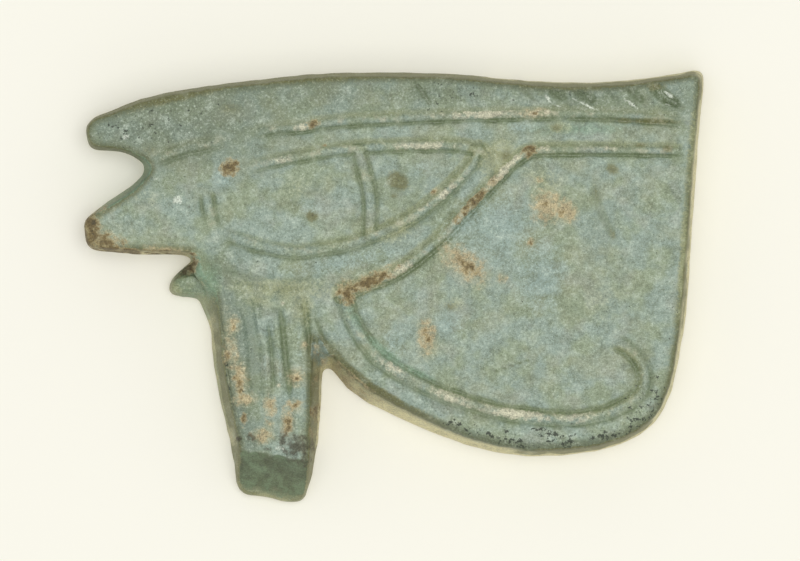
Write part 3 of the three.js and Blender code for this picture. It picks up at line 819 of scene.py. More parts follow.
@dataclass(frozen=True)
class CarvedFace:
    """The relief of the face as heights over the plan, and the masks that its colours follow."""

    bead_height: float = 0.17
    bead_round: float = 0.8  # below one, its top is fuller than a wave's
    crest_half: float = 0.34  # how far from a line's middle its worn crest runs out
    groove_at: float = 0.53  # from a line's middle
    groove_spread: float = 0.2
    groove_sharp: float = 1.3  # how suddenly its outer side ends
    groove_depth: float = 0.15
    olive_at: float = 0.42  # to the left of a line's middle
    olive_spread: float = 0.34
    reach: float = 2.6  # how far from its middle a form still counts
    wear_size: float = 1.8
    wear_seed: int = 100  # of the first line, and one more for each line after it
    width_wear: float = 0.06  # how much wear changes a line's width
    bead_worn: Pair = (0.88, 0.16)  # height of a worn bead, and how much wear changes it
    groove_worn: Pair = (0.92, 0.2)  # the same for the depth of its grooves
    clear_crest: Ramp = Ramp(0.4, 0.9)  # crest that no other line's groove cuts
    rough_seed: int = 7
    finer: float = 2.2  # how many times smaller the bumps on the bumps are
    finer_height: float = 0.6
    finer_seed: int = 8

    def carve(self, places: np.ndarray) -> dict[str, np.ndarray]:
        """Works out the relief at every place.

        Args:
            places: Plan positions in millimetres.

        Returns:
            Heights above the plain face under "lift", and each mask under its form's name.
        """
        bead, crest, groove, olive = (np.zeros(len(places)) for _ in range(4))
        for number, line in enumerate(RAISED_LINES):
            log.debug("carving the %s", line.name)
            trace = Trace(on_face(line.through))
            rows, across, nearest = trace.measure(places, self.reach)
            wear = Waves(self.wear_size, self.wear_seed + number).over(places[rows])
            part = trace.fading(nearest, line.fades)
            size = trace.between_ends(nearest, line.size) * (1.0 + self.width_wear * wear)
            distance = np.abs(across) / size
            slope = (1.0 + np.cos(math.pi * np.clip(distance / self.groove_at, 0.0, 1.0))) / 2.0
            mound = slope**self.bead_round
            worn = self.bead_worn[0] + self.bead_worn[1] * wear
            bead[rows] = np.maximum(bead[rows], line.height * part * worn * mound)
            crest[rows] = np.maximum(crest[rows], part * np.exp(-((distance / self.crest_half) ** 2)))
            side = np.where(across > 0, line.left, line.right)
            off = np.abs(distance - self.groove_at) / self.groove_spread
            hollow = np.where(distance < self.groove_at, 1.0 - mound, np.exp(-(off**self.groove_sharp)))
            worn = self.groove_worn[0] + self.groove_worn[1] * wear
            groove[rows] = np.maximum(groove[rows], side * part * worn * hollow)
            tint = trace.between_ends(nearest, line.olive) * part
            off = (across - self.olive_at) / self.olive_spread
            olive[rows] = np.maximum(olive[rows], tint * np.exp(-(off**2)))
        cut = groove * (1.0 - self.clear_crest.of(crest))
        forms, pooled_and_shade = self._soft_forms(places)
        lift = self.bead_height * bead - self.groove_depth * cut + forms + self._rough(places)
        cut = np.maximum(cut, pooled_and_shade)
        return {"lift": lift, Form.GROOVE.value: cut, Form.CREST.value: crest, Form.OLIVE_LINE.value: olive}

    def _soft_forms(self, places: np.ndarray) -> tuple[np.ndarray, np.ndarray]:
        """Heights of the swellings, furrows and strokes together, and how thick the glaze and its painted
        shade lie in them.

        Args:
            places: Plan positions in millimetres.

        Returns:
            Both for each place.
        """
        total, pooled_and_shade = np.zeros(len(places)), np.zeros(len(places))
        for form in SOFT_FORMS:
            log.debug("carving the %s", form.name)
            trace = Trace(on_face(form.through))
            rows, across, nearest = trace.measure(places, self.reach)
            half = trace.widths[nearest] * form.spread / 2.0
            share = np.clip((np.abs(across) / half - form.flat) / (1.0 - form.flat), 0.0, 1.0)
            part = trace.fading(nearest, (form.fade, form.fade)) * (1.0 + np.cos(math.pi * share)) / 2.0
            total[rows] += form.lift * part
            pooled_and_shade[rows] = np.maximum(pooled_and_shade[rows], form.pooled_and_shade * part)
        return total, pooled_and_shade

    def _rough(self, places: np.ndarray) -> np.ndarray:
        """Height of the bumps of all rugged patches together.

        Args:
            places: Plan positions in millimetres.

        Returns:
            One height for each place.
        """
        total = np.zeros(len(places))
        for patch in ROUGH_PATCHES:
            inside = np.exp(-(ellipse_radius(places, patch.at, patch.half) ** 2))
            bumps = Waves(patch.size, self.rough_seed).over(places)
            bumps += Waves(patch.size / self.finer, self.finer_seed, self.finer_height).over(places)
            total += patch.height * inside * bumps
        return total


def read_points(piece: bpy.types.Object) -> np.ndarray:
    """A piece's points in millimetres.

    Args:
        piece: The piece.

    Returns:
        One row for each point.
    """
    flat = np.empty(len(piece.data.vertices) * 3)
    piece.data.vertices.foreach_get("co", flat)
    return flat.reshape(-1, 3) / MM


def write_points(piece: bpy.types.Object, points: np.ndarray) -> None:
    """Moves a piece's points to new places in millimetres."""
    piece.data.vertices.foreach_set("co", (points * MM).ravel())
    piece.data.update()


def read_normals(piece: bpy.types.Object) -> np.ndarray:
    """A piece's point normals.

    Args:
        piece: The piece.

    Returns:
        One row for each point.
    """
    flat = np.empty(len(piece.data.vertices) * 3)
    piece.data.vertex_normals.foreach_get("vector", flat)
    return flat.reshape(-1, 3)


@dataclass(frozen=True)
class Surface:
    """The last work on the piece's surface: its walls, its relief, its marks and the masks of its colours.

    A height is above the back. A ramp named upward takes the upward share of a point's normal.
    """

    toe: ToeSlope
    wall_top: float
    wall_band: float = 4.7  # walls above this bound the face
    steep: float = 0.5  # upward share of a normal below which a point is on the walls
    slope_fall: Ramp = Ramp(-0.1, 0.5)  # how far the toe falls before it counts as a slope
    top_upward: Ramp = Ramp(0.55, 0.9)  # what belongs to the upper face
    top_height: Ramp = Ramp(4.2, 4.8)
    relief_height: Ramp = Ramp(4.6, 5.4)  # where the relief may be carved
    relief_inset: Ramp = Ramp(0.0, 0.3)  # distance from the walls over which the relief begins
    edge_drop: float = 0.1  # how much lower the face lies at the walls
    edge_reach: float = 0.34
    ceiling: float = 6.325  # nothing stands higher
    ceiling_from: float = 6.22  # what is higher than this is pressed down
    flare_reach: float = 1.8
    least_share: float = 1e-12  # of each flare, also where none is near
    least_flat: float = 0.05  # level part of a normal that it is divided by at least
    full_flat: float = 0.3  # and the level part from which a point moves in full
    nicks: Waves = Waves(1.6, 41, 0.3)  # in pixels, all the way up the walls
    top_nicks: Waves = Waves(0.6, 42, 0.35)  # the same, along their top edge
    bore_at: Pair = (1.386, 2.8)  # y and z of the thread hole's axis
    bore_reach: float = 0.8  # nothing flares so near to the axis
    toe_edge: Waves = Waves(1.2, 51, 0.28)  # how ragged the upper edge of the toe's dark colour is
    toe_fall: Ramp = Ramp(0.0, 1.0)
    toe_upward: Ramp = Ramp(0.3, 0.7)
    toe_height: Ramp = Ramp(1.6, 3.6)
    toe_low: float = 0.5  # share of the dark colour that is left at the toe's low end
    wall_upward: Ramp = Ramp(0.3, 0.8)
    rim_reach: float = 0.42
    rim_height: Ramp = Ramp(4.9, 5.4)
    shoulder_height: Ramp = Ramp(1.6, 3.0)
    shoulder_edge: Waves = Waves(1.6, 61, 0.5)
    mark_edge: Waves = Waves(1.4, 62, 0.5)  # how ragged marks on the walls are
    front_upward: Ramp = Ramp(-0.8, -0.2)  # the back has no marks
    part_mask: Ramp = Ramp(0.05, 0.5)  # mask of the part that a mark keeps to

    def work(self, piece: bpy.types.Object) -> None:
        """Moves the piece's points to the relief and keeps the masks as attributes.

        Args:
            piece: The piece.
        """
        points, normals = read_points(piece), read_normals(piece)
        places, upward = points[:, :2], normals[:, 2]  # a change to places moves the points too
        relief = CarvedFace().carve(places)
        edge = self._edge_distance(points, upward)
        fall = FACE_HEIGHT - self.toe.height(places)
        top = np.maximum(self.top_height.of(points[:, 2]), self.slope_fall.of(fall))
        top *= self.top_upward.of(upward)
        toe = self.toe_fall.of(fall + self.toe_edge.over(places)) * self.toe_upward.of(upward)
        toe *= self.toe_low + (1.0 - self.toe_low) * self.toe_height.of(points[:, 2])
        places += self._flare(points, normals, edge)
        for slump in SLUMPS:
            share = np.exp(-(ellipse_radius(places, slump.at, slump.half) ** 2))
            share *= slump.height.of(points[:, 2])
            places += share[:, None] * np.array(slump.push) * PIXEL
        face = top * self.relief_height.of(points[:, 2]) * self.relief_inset.of(edge)
        points[:, 2] += relief.pop("lift") * face
        points[:, 2] -= self.edge_drop * top * np.exp(-((edge / self.edge_reach) ** 2))
        self._cap(points)
        masks = {name: values * face for name, values in relief.items()}
        masks[Form.TOE.value] = toe
        masks |= self._side_masks(points, upward, edge)
        masks |= self._mark(points, upward, masks, top)
        points[:, 2] = np.maximum(points[:, 2], 0.0)  # nothing hangs below the back
        write_points(piece, points)
        for name, values in masks.items():
            layer = piece.data.attributes.new(name, "FLOAT", "POINT")
            layer.data.foreach_set("value", values.astype(np.float32))

    def _edge_distance(self, points: np.ndarray, upward: np.ndarray) -> np.ndarray:
        """How far each point lies from the walls, over the plan.

        Args:
            points: The piece's points.
            upward: The upward share of their normals.

        Returns:
            One distance for each point.
        """
        walls = np.flatnonzero((upward < self.steep) & (points[:, 2] > self.wall_band))
        tree = kdtree.KDTree(len(walls))
        for row in walls:
            tree.insert((points[row, 0], points[row, 1], 0.0), row)
        tree.balance()
        return np.array([tree.find((x, y, 0.0))[2] for x, y in points[:, :2]])

    def _flare(self, points: np.ndarray, normals: np.ndarray, edge: np.ndarray) -> np.ndarray:
        """How far each point moves outward over the plan.

        Args:
            points: The piece's points.
            normals: Their normals.
            edge: How far each lies from the walls.

        Returns:
            A row of x and y for each point.
        """
        places = points[:, :2]
        stations = on_face(tuple(flare.at for flare in FLARES))
        gaps = ((places[:, None] - stations[None]) ** 2).sum(2)
        shares = np.exp(-gaps / self.flare_reach**2) + self.least_share
        shares /= shares.sum(1)[:, None]
        foot = shares @ np.array([flare.foot for flare in FLARES])
        rim = shares @ np.array([flare.rim for flare in FLARES])
        height = np.clip(points[:, 2] / self.wall_top, 0.0, 1.0)
        nicks = self.nicks.over(places) + height**3 * self.top_nicks.over(places)
        out = (foot + (rim - foot) * height + nicks) * PIXEL
        steep = 1.0 - self.wall_upward.of(np.abs(normals[:, 2]))
        wall = np.maximum(np.exp(-((edge / self.edge_reach) ** 2)), steep)
        flat = np.hypot(normals[:, 0], normals[:, 1])
        way = normals[:, :2] / np.maximum(flat, self.least_flat)[:, None]
        bore = np.hypot(points[:, 1] - self.bore_at[0], points[:, 2] - self.bore_at[1]) < self.bore_reach
        return way * (out * wall * np.minimum(flat / self.full_flat, 1.0) * ~bore)[:, None]

    def _cap(self, points: np.ndarray) -> None:
        """Presses the highest points down softly, so that none passes the ceiling.

        Args:
            points: The piece's points, whose heights change.
        """
        room = self.ceiling - self.ceiling_from
        over = np.maximum(points[:, 2] - self.ceiling_from, 0.0)
        points[:, 2] += room * np.tanh(over / room) - over

    def _side_masks(self, points: np.ndarray, upward: np.ndarray, edge: np.ndarray) -> dict[str, np.ndarray]:
        """Masks of the walls, of their upper part and of the rim.

        Args:
            points: The piece's points.
            upward: The upward share of their normals.
            edge: How far each lies from the walls.

        Returns:
            Each mask under its form's name.
        """
        wall = 1.0 - self.wall_upward.of(upward)
        height = points[:, 2] + self.shoulder_edge.over(points[:, :2])
        rim = np.exp(-((edge / self.rim_reach) ** 2)) * self.rim_height.of(points[:, 2])
        return {
            Form.WALL.value: wall,
            Form.SHOULDER.value: wall * self.shoulder_height.of(height),
            Form.RIM.value: rim,
        }

    def _mark(
        self, points: np.ndarray, upward: np.ndarray, forms: dict[str, np.ndarray], top: np.ndarray
    ) -> dict[str, np.ndarray]:
        """Lays the marks, raises or sinks the surface under them, and gives a mask for each stain.

        Args:
            points: The piece's points, whose heights change.
            upward: The upward share of their normals.
            forms: The masks of the relief's parts.
            top: How much each point is part of the upper face.

        Returns:
            Each mask under its stain's name.
        """
        places = points[:, :2]
        masks = {stain.value: np.zeros(len(points)) for stain in Stain}
        front = self.front_upward.of(upward)
        uneven = self.mark_edge.over(places)
        for mark in MARKS:
            radius = ellipse_radius(places, mark.at, mark.half, mark.turn)
            reach = radius + uneven if mark.on in (Form.WALL, Form.SHOULDER) else radius
            field = np.clip(mark.strength - reach / 2.0, 0.0, 1.0) * front
            if mark.on is not None:
                field = field * self.part_mask.of(forms[mark.on.value])
            masks[mark.stain.value] = np.maximum(masks[mark.stain.value], field)
            points[:, 2] += mark.lift * np.exp(-(radius**2)) * top
        return masks


@dataclass
class EyeAmulet:
    """The amulet as one piece: a worked copy of its solid, carved, marked and dressed."""

    solid: bpy.types.Object
    finish: "GlazedPaste"
    name: str = "pressed_eye"
    toe: ToeSlope = ToeSlope()
    merge_gap: float = 0.001  # points of the solid's loose triangles that are this near are one
    wall_top: float = 5.65  # height of the ring where the solid's walls end
    ring_gap: float = 0.003  # how near to that height the ring's points are
    least_length: float = 1e-9  # of one edge of the ring, squared
    levelled_from: float = 5.4  # points of the solid above this are on its face
    edge_strip: float = 0.12  # strip along the edge that isn't levelled
    grid: float = 0.2  # spacing of the remeshed surface
    smoothing: float = 0.5  # of one pass
    softening: int = 10  # passes all over
    wearing: int = 60  # passes on the worn spots
    uneven_part: str = "above the back"
    uneven_from: float = 0.4  # the back stays even
    unevenness: tuple[Pair, ...] = ((3.2, 0.1), (1.1, 0.045), (0.5, 0.02))  # size and height of the bumps
    worn_part: str = "worn spots"
    worn_from: float = 3.6  # the lower walls aren't worn
    worn_spots: tuple[Triple, ...] = (  # x, y and half width in the view's pixels
        (204, 270, 26), (90, 232, 9), (300, 452, 12), (278, 449, 12), (254, 446, 12),
    )
    back_top: float = 0.1  # points below this that face down are on the back
    back_downward: float = 0.97
    back_share: float = 0.06  # what is left of the flat back's faces
    low_walls: Pair = (0.2, 4.4)  # heights of the lower walls
    low_walls_upward: float = 0.6  # they face no more up or down than this
    wall_share: float = 0.45  # what is left of their faces
    fine_reach: float = 0.85  # how far from a line the mesh is finer
    fine_boxes: tuple[tuple[float, float, float, float], ...] = (
        (-13.6, -13.2, -5.2, 0.6),  # ribs of the foot
        (11.0, 13.2, 22.8, 15.8),  # strokes of the brow
    )
    fine_upward: float = 0.6  # faces that point up less than this aren't made finer

    def build(self) -> bpy.types.Object:
        """Makes the piece and returns it.

        Returns:
            The piece, with its material.
        """
        piece = bpy.data.objects.new(self.name, self.solid.data.copy())
        piece.data.name = self.name
        bpy.context.scene.collection.objects.link(piece)
        bpy.ops.object.select_all(action="DESELECT")
        piece.select_set(True)
        bpy.context.view_layer.objects.active = piece
        self._merge()
        self._level(piece)
        self._remesh(piece)
        self._roughen(piece)
        self._wear(piece)
        self._thin(piece)
        self._refine(piece)
        Surface(self.toe, self.wall_top).work(piece)
        bpy.ops.object.shade_smooth()
        piece.data.materials.clear()
        piece.data.materials.append(self.finish.material())
        return piece

    def _merge(self) -> None:
        """Joins the loose triangles of the copied solid."""
        bpy.ops.object.mode_set(mode="EDIT")
        bpy.ops.mesh.select_all(action="SELECT")
        bpy.ops.mesh.remove_doubles(threshold=self.merge_gap * MM)
        bpy.ops.object.mode_set(mode="OBJECT")

    def _level(self, piece: bpy.types.Object) -> None:
        """Takes the solid's relief off the face, up to a strip along the edge.

        Args:
            piece: The piece.
        """
        points = read_points(piece)
        ring = np.abs(points[:, 2] - self.wall_top) < self.ring_gap
        edges = np.empty(len(piece.data.edges) * 2, dtype=int)
        piece.data.edges.foreach_get("vertices", edges)
        edges = edges.reshape(-1, 2)
        edges = edges[ring[edges].all(1)]
        starts, ends = points[edges[:, 0], :2], points[edges[:, 1], :2]
        raised = np.flatnonzero(points[:, 2] > self.levelled_from)
        gap = points[raised, None, :2] - starts[None]
        way = (ends - starts)[None]
        share = np.clip((gap * way).sum(2) / np.maximum((way**2).sum(2), self.least_length), 0.0, 1.0)
        distance = np.sqrt(((gap - share[:, :, None] * way) ** 2).sum(2)).min(1)
        rows = raised[distance > self.edge_strip]
        points[rows, 2] = np.minimum(FACE_HEIGHT, self.toe.height(points[rows, :2]))
        write_points(piece, points)

    def _remesh(self, piece: bpy.types.Object) -> None:
        """Gives the piece an even fine mesh, and softens its facets and edges.

        Args:
            piece: The piece.
        """
        remesh = piece.modifiers.new("even mesh", "REMESH")
        remesh.mode = "VOXEL"
        remesh.voxel_size = self.grid * MM
        bpy.ops.object.modifier_apply(modifier=remesh.name)
        self._smooth(piece, self.softening)

    def _smooth(self, piece: bpy.types.Object, passes: int, part: str = "") -> None:
        """Softens the piece, or one named part of it, in a number of passes.

        Args:
            piece: The piece.
            passes: How often it is softened.
            part: The vertex group, or none for the whole piece.
        """
        smooth = piece.modifiers.new("smooth", "SMOOTH")
        smooth.factor = self.smoothing
        smooth.iterations = passes
        smooth.vertex_group = part
        bpy.ops.object.modifier_apply(modifier=smooth.name)

    def _roughen(self, piece: bpy.types.Object) -> None:
        """Makes the piece a little uneven, except its back.

        Args:
            piece: The piece.
        """
        rows = np.flatnonzero(read_points(piece)[:, 2] > self.uneven_from).tolist()
        piece.vertex_groups.new(name=self.uneven_part).add(rows, 1.0, "REPLACE")
        for size, height in self.unevenness:
            texture = bpy.data.textures.new("uneven", "CLOUDS")
            texture.noise_scale = size * MM
            uneven = piece.modifiers.new("uneven", "DISPLACE")
            uneven.texture = texture
            uneven.strength = height * MM
            uneven.vertex_group = self.uneven_part
            bpy.ops.object.modifier_apply(modifier=uneven.name)
        piece.vertex_groups.clear()

    def _wear(self, piece: bpy.types.Object) -> None:
        """Rounds the piece further where it is worn most.

        Args:
            piece: The piece.
        """
        points = read_points(piece)
        spots = piece.vertex_groups.new(name=self.worn_part)
        for x, y, half in self.worn_spots:
            radius = ellipse_radius(points[:, :2], (x, y), (half, half))
            for row in np.flatnonzero((radius < 1.0) & (points[:, 2] > self.worn_from)):
                spots.add([int(row)], float(1.0 - radius[row] ** 2), "ADD")
        self._smooth(piece, self.wearing, self.worn_part)
        piece.vertex_groups.clear()

    @staticmethod
    def _select(piece: bpy.types.Object, chosen: np.ndarray) -> None:
        """Selects the faces whose points are all chosen, and leaves the piece in edit mode.

        Args:
            piece: The piece.
            chosen: For each point, whether it is chosen.
        """
        bpy.ops.object.mode_set(mode="EDIT")
        bpy.ops.mesh.select_mode(type="FACE")
        bpy.ops.mesh.select_all(action="DESELECT")
        bpy.ops.object.mode_set(mode="OBJECT")
        mesh = piece.data
        corners = np.empty(len(mesh.loops), dtype=int)
        mesh.loops.foreach_get("vertex_index", corners)
        starts = np.empty(len(mesh.polygons), dtype=int)
        mesh.polygons.foreach_get("loop_start", starts)
        mesh.polygons.foreach_set("select", np.logical_and.reduceat(chosen[corners], starts))
        bpy.ops.object.mode_set(mode="EDIT")

    def _thin(self, piece: bpy.types.Object) -> None:
        """Leaves fewer faces on the flat back, the lower walls and the thread hole.

        Args:
            piece: The piece.
        """
        height, upward = read_points(piece)[:, 2], read_normals(piece)[:, 2]
        self._select(piece, (height < self.back_top) & (upward < -self.back_downward))
        bpy.ops.mesh.decimate(ratio=self.back_share)
        bpy.ops.object.mode_set(mode="OBJECT")
        height, upward = read_points(piece)[:, 2], read_normals(piece)[:, 2]
        low = (height > self.low_walls[0]) & (height < self.low_walls[1])
        self._select(piece, low & (np.abs(upward) < self.low_walls_upward))
        bpy.ops.mesh.decimate(ratio=self.wall_share)
        bpy.ops.object.mode_set(mode="OBJECT")

    def _refine(self, piece: bpy.types.Object) -> None:
        """Halves the faces along the raised lines, on the ribs of the foot and on the strokes of the brow.

        Args:
            piece: The piece.
        """
        points, normals = read_points(piece), read_normals(piece)
        near = np.zeros(len(points), dtype=bool)
        for line in RAISED_LINES:
            trace = Trace(on_face(line.through))
            near[trace.measure(points[:, :2], self.fine_reach)[0]] = True
        x, y = points[:, 0], points[:, 1]
        for left, low, right, high in self.fine_boxes:
            near |= (x > left) & (x < right) & (y > low) & (y < high)
        on_top = (normals[:, 2] > self.fine_upward) & (points[:, 2] > self.levelled_from)
        self._select(piece, near & on_top)
        bpy.ops.mesh.subdivide(number_cuts=1, ngon=False)
        bpy.ops.object.mode_set(mode="OBJECT")


@dataclass(frozen=True)
class Noise:
    """One kind of noise over the surface.

    Attributes:
        scale: Waves per millimetre.
        detail: How many finer layers ride on the first.
        rough: How strong the finer layers are.
    """

    scale: float
    detail: float
    rough: float = 0.55


class Nodes:
    """Lays shader nodes into one tree with short calls."""

    MIX_INPUTS = (0, 6, 7)  # of a Mix node: the share and the two colours
    MIX_OUTPUT = 2

    def __init__(self, tree: bpy.types.NodeTree) -> None:
        """Keeps the tree that nodes go into."""
        self.tree = tree

    def add(self, kind: str, values: dict[str | int, Feed] | None = None, **settings: str) -> bpy.types.Node:
        """Adds one node.

        Args:
            kind: The node's type name.
            values: Inputs by name or number, each a value or an output socket to link.
            settings: The node's own properties.

        Returns:
            The new node.
        """
        node = self.tree.nodes.new(kind)
        for name, value in settings.items():
            setattr(node, name, value)
        for name, value in (values or {}).items():
            self.feed(node.inputs[name], value)
        return node

    def feed(self, socket: Socket, value: Feed) -> None:
        """Links an output into a socket, or sets the socket's value.

        Args:
            socket: The input.
            value: An output of another node, or a value.
        """
        if isinstance(value, Socket):
            self.tree.links.new(value, socket)
        else:
            socket.default_value = value

    def math(self, operation: str, *values: Feed) -> Socket:
        """The result of one sum on values or sockets."""
        return self.add("ShaderNodeMath", dict(enumerate(values)), operation=operation).outputs[0]

    def mix(self, share: Feed, first: Feed, second: Feed) -> Socket:
        """A colour between two, by a share from nought to one."""
        values = dict(zip(self.MIX_INPUTS, (share, first, second)))
        return self.add("ShaderNodeMix", values, data_type="RGBA").outputs[self.MIX_OUTPUT]

    def over(self, share: Feed, most: float, below: Feed, above: Feed) -> Socket:
        """One colour laid over another, by a share times the most that it covers."""
        return self.mix(self.math("MULTIPLY", share, most), below, above)

    def between(self, value: Feed, ramp: Ramp) -> Socket:
        """The share of a ramp at a value."""
        values = dict(enumerate((value, ramp.low, ramp.high, 0.0, 1.0)))
        return self.add("ShaderNodeMapRange", values, interpolation_type="SMOOTHSTEP").outputs[0]

    def total(self, *terms: tuple[Feed, float]) -> Socket:
        """The sum of values or sockets, each times its own factor.

        Args:
            terms: Pairs of a value or a socket and its factor.

        Returns:
            The sum's socket.
        """
        result = 0.0
        for value, factor in terms:
            result = self.math("MULTIPLY_ADD", value, factor, result)
        return result

    def noise(self, place: Feed, noise: Noise, output: str = "Fac") -> Socket:
        """Noise at a place given in millimetres."""
        values = {"Vector": place, "Scale": noise.scale, "Detail": noise.detail, "Roughness": noise.rough}
        return self.add("ShaderNodeTexNoise", values).outputs[output]

    def centred(self, place: Feed, noise: Noise) -> Socket:
        """The same, moved so that it lies around nought."""
        return self.math("SUBTRACT", self.noise(place, noise), 0.5)

    def mask(self, part: Stain | Form) -> Socket:
        """The mask of a stain or a part of the relief, kept on the mesh."""
        return self.add("ShaderNodeAttribute", attribute_name=part.value).outputs["Fac"]


def paint(tint: Triple) -> tuple[float, float, float, float]:
    """A colour given as screen values from 0 to 255, as linear values for a socket.

    Args:
        tint: Red, green and blue.

    Returns:
        The same in linear light, with full opacity.
    """

    def linear(value: float) -> float:
        """One channel in linear light, by the curve that screens use."""
        share = value / 255.0
        return share / 12.92 if share <= 0.04045 else ((share + 0.055) / 1.055) ** 2.4

    return (*(linear(value) for value in tint), 1.0)


@dataclass(frozen=True)
class Cover:
    """One layer over the glaze.

    Attributes:
        mask: The stain or the part of the relief that it lies on.
        tint: Its colour as screen values.
        begins: The mask's values between which it begins.
        ragged: How far fine noise breaks up its edge.
        most: How thick it is at most.
    """

    mask: Stain | Form
    tint: Triple
    begins: Ramp
    ragged: float
    most: float


@dataclass(frozen=True)
class Bloom:
    """One kind of spot in the glaze.

    Attributes:
        on_mottle: Whether it follows the mottling, or the fine noise.
        begins: The noise's values between which it begins.
        tint: Its colour as screen values.
        most: How thick it is at most.
    """

    on_mottle: bool
    begins: Ramp
    tint: Triple
    most: float


TAN = (177, 164, 129)
WHITE = (192, 204, 188)
PALE = (172, 184, 170)
DARK = (98, 110, 82)
# Green of glaze pooled in the grooves and cuts, dark enough to be their painted shade as well
DEEP_GREEN = (92, 107, 70)


@dataclass(frozen=True)
class GlazedPaste:
    """Matt blue-green glaze on quartz paste, worn, mottled and stained, with some highlights and shade
    painted in. Tints are screen values.
    """

    name: str = "glazed_paste"
    upright: float = 0.35  # how fast the grain changes up the walls
    broad: Noise = Noise(0.4, 3.0)  # patches of the glaze's own colours
    mottle: Noise = Noise(0.9, 5.0, 0.72)
    fine: Noise = Noise(5.0, 2.0, 0.75)
    grain: Noise = Noise(9.5, 1.0)
    worms: Noise = Noise(4.2, 2.0)  # its middle value runs in the thin creases
    patchy: Noise = Noise(2.2, 2.0, 0.5)  # breaks up the stains
    spotty: Noise = Noise(2.4, 3.0, 0.75)  # its highest spots are the specks
    blue_grey: Triple = (143, 161, 149)
    blue_begins: Ramp = Ramp(0.38, 0.6)
    green: Triple = (141, 155, 128)
    yellowed: Triple = (148, 154, 123)
    yellow_begins: Ramp = Ramp(0.46, 0.7)
    yellow_most: float = 0.6
    grey: Triple = (156, 162, 148)
    grey_begins: Ramp = Ramp(0.5, 0.7)
    grey_most: float = 0.5
    bare: Triple = (226, 216, 168)
    # painted light: the walls' tint higher up, set for how much light reaches them there
    upper_wall_light: Triple = (222, 214, 166)
    upper_wall_light_begins: Ramp = Ramp(1.0, 4.0)  # height above the back
    # olive of the walls' top edge: glaze there, with painted shade of the rounded edge
    edge: Triple = (104, 104, 70)
    edge_begins: Ramp = Ramp(3.4, 6.2)
    edge_ragged: float = 2.0
    wall_most: float = 0.9
    coarse_shade_and_dirt: float = 0.2  # how much coarser the grain is in the darker patches of painted shade and dirt
    smooth_wall: float = 0.6
    smooth_most: float = -0.65  # change of the grain where the glaze is smoothest
    crease_begins: Ramp = Ramp(0.03, 0.0)  # distance from the middle of the noise
    crease_on: Ramp = Ramp(0.1, -0.1)  # mottling where creases show
    crease_most: float = 0.6
    worn_on: Ramp = Ramp(0.0, 0.14)  # mottling where crests are worn
    worn_most: float = 0.3
    toe_light: Triple = (96, 116, 86)
    toe_dark: Triple = (64, 73, 46)
    toe_lights: Ramp = Ramp(-0.2, 0.2)
    toe_begins: Ramp = Ramp(0.3, 0.75)
    toe_ragged: float = 1.2
    toe_most: float = 0.9
    speck: Triple = (46, 54, 42)
    specks_more: float = 0.17  # how much likelier specks are where their mask is high
    specks_begin: Ramp = Ramp(0.68, 0.74)
    specks_most: float = 0.9
    wash_edge: Pair = (1.6, 1.6)  # mottling and fine noise in the edges of the washes
    stain_edge: Pair = (1.5, 0.5)  # patchy and fine noise in the edges of the stains
    shade: Triple = (0.5, 0.55, 0.8)  # mottling, fine noise and grain in how light the colour is
    roughness: float = 0.64
    roughening: Triple = (-0.2, 0.15, 0.6)  # by thick glaze, crust and fine noise
    bumps: Pair = (0.7, 0.3)  # fine noise and grain
    bump_strength: float = 0.8
    bump_height: float = 0.1
    spots: tuple[Bloom, ...] = (
        Bloom(True, Ramp(0.0, 0.22), PALE, 0.5),
        Bloom(True, Ramp(0.0, -0.22), DARK, 0.4),
        Bloom(False, Ramp(0.0, 0.25), WHITE, 0.45),
        Bloom(False, Ramp(0.0, -0.25), DARK, 0.45),
    )
    cover_begins: Ramp = Ramp(0.0, 0.25)  # of any mask, so that noise alone lays no cover
    washes_and_painted_shade: tuple[Cover, ...] = (
        Cover(Form.OLIVE_LINE, (140, 146, 106), Ramp(0.15, 1.0), 0.6, 0.7),
        # green glaze pooled in the grooves and cuts, with their painted shade
        Cover(Form.GROOVE, DEEP_GREEN, Ramp(0.1, 1.1), 0.25, 0.85),
        # dark olive along the face's edge: glaze there, with painted shade of the rounded edge
        Cover(Form.RIM, (100, 103, 64), Ramp(0.1, 0.9), 0.9, 0.85),
        # darker patches: painted shade and dirt
        Cover(Stain.SHADE_AND_DIRT, (100, 112, 92), Ramp(0.0, 1.1), 0.7, 0.65),
        Cover(Stain.TAN, (164, 160, 124), Ramp(0.05, 0.7), 0.4, 0.55),
        Cover(Stain.MOSS, (126, 142, 112), Ramp(0.2, 0.7), 0.5, 0.85),
        Cover(Stain.VERDURE, (120, 150, 126), Ramp(0.2, 0.9), 0.6, 0.75),
        Cover(Stain.YELLOW, (152, 156, 116), Ramp(0.1, 0.8), 0.7, 0.75),
        Cover(Stain.OLIVE, (106, 106, 64), Ramp(0.25, 0.75), 0.5, 0.85),
        Cover(Stain.TEAL, (142, 164, 158), Ramp(0.1, 0.8), 0.7, 0.75),
    )
    stains_and_painted_light: tuple[Cover, ...] = (
        Cover(Stain.TAN, TAN, Ramp(0.3, 0.85), 0.9, 0.85),
        Cover(Stain.CREAM, (194, 192, 168), Ramp(0.3, 0.85), 1.0, 0.85),
        # rust and soot stains, and painted shade in the hollow above the lump
        Cover(Stain.RUST_AND_SHADE, TAN, Ramp(0.15, 0.6), 0.7, 0.6),
        Cover(Stain.RUST_AND_SHADE, (140, 126, 86), Ramp(0.3, 0.75), 1.0, 0.75),
        Cover(Stain.RUST_AND_SHADE, (104, 90, 58), Ramp(0.5, 0.95), 1.3, 0.9),
        Cover(Stain.SOOT_AND_SHADE, (70, 66, 50), Ramp(0.3, 0.95), 1.1, 0.82),
        # painted highlights on the brow's ridges, and pale frost specks
        Cover(Stain.HIGHLIGHT_AND_FROST, (204, 212, 198), Ramp(0.35, 0.8), 1.0, 0.8),
    )

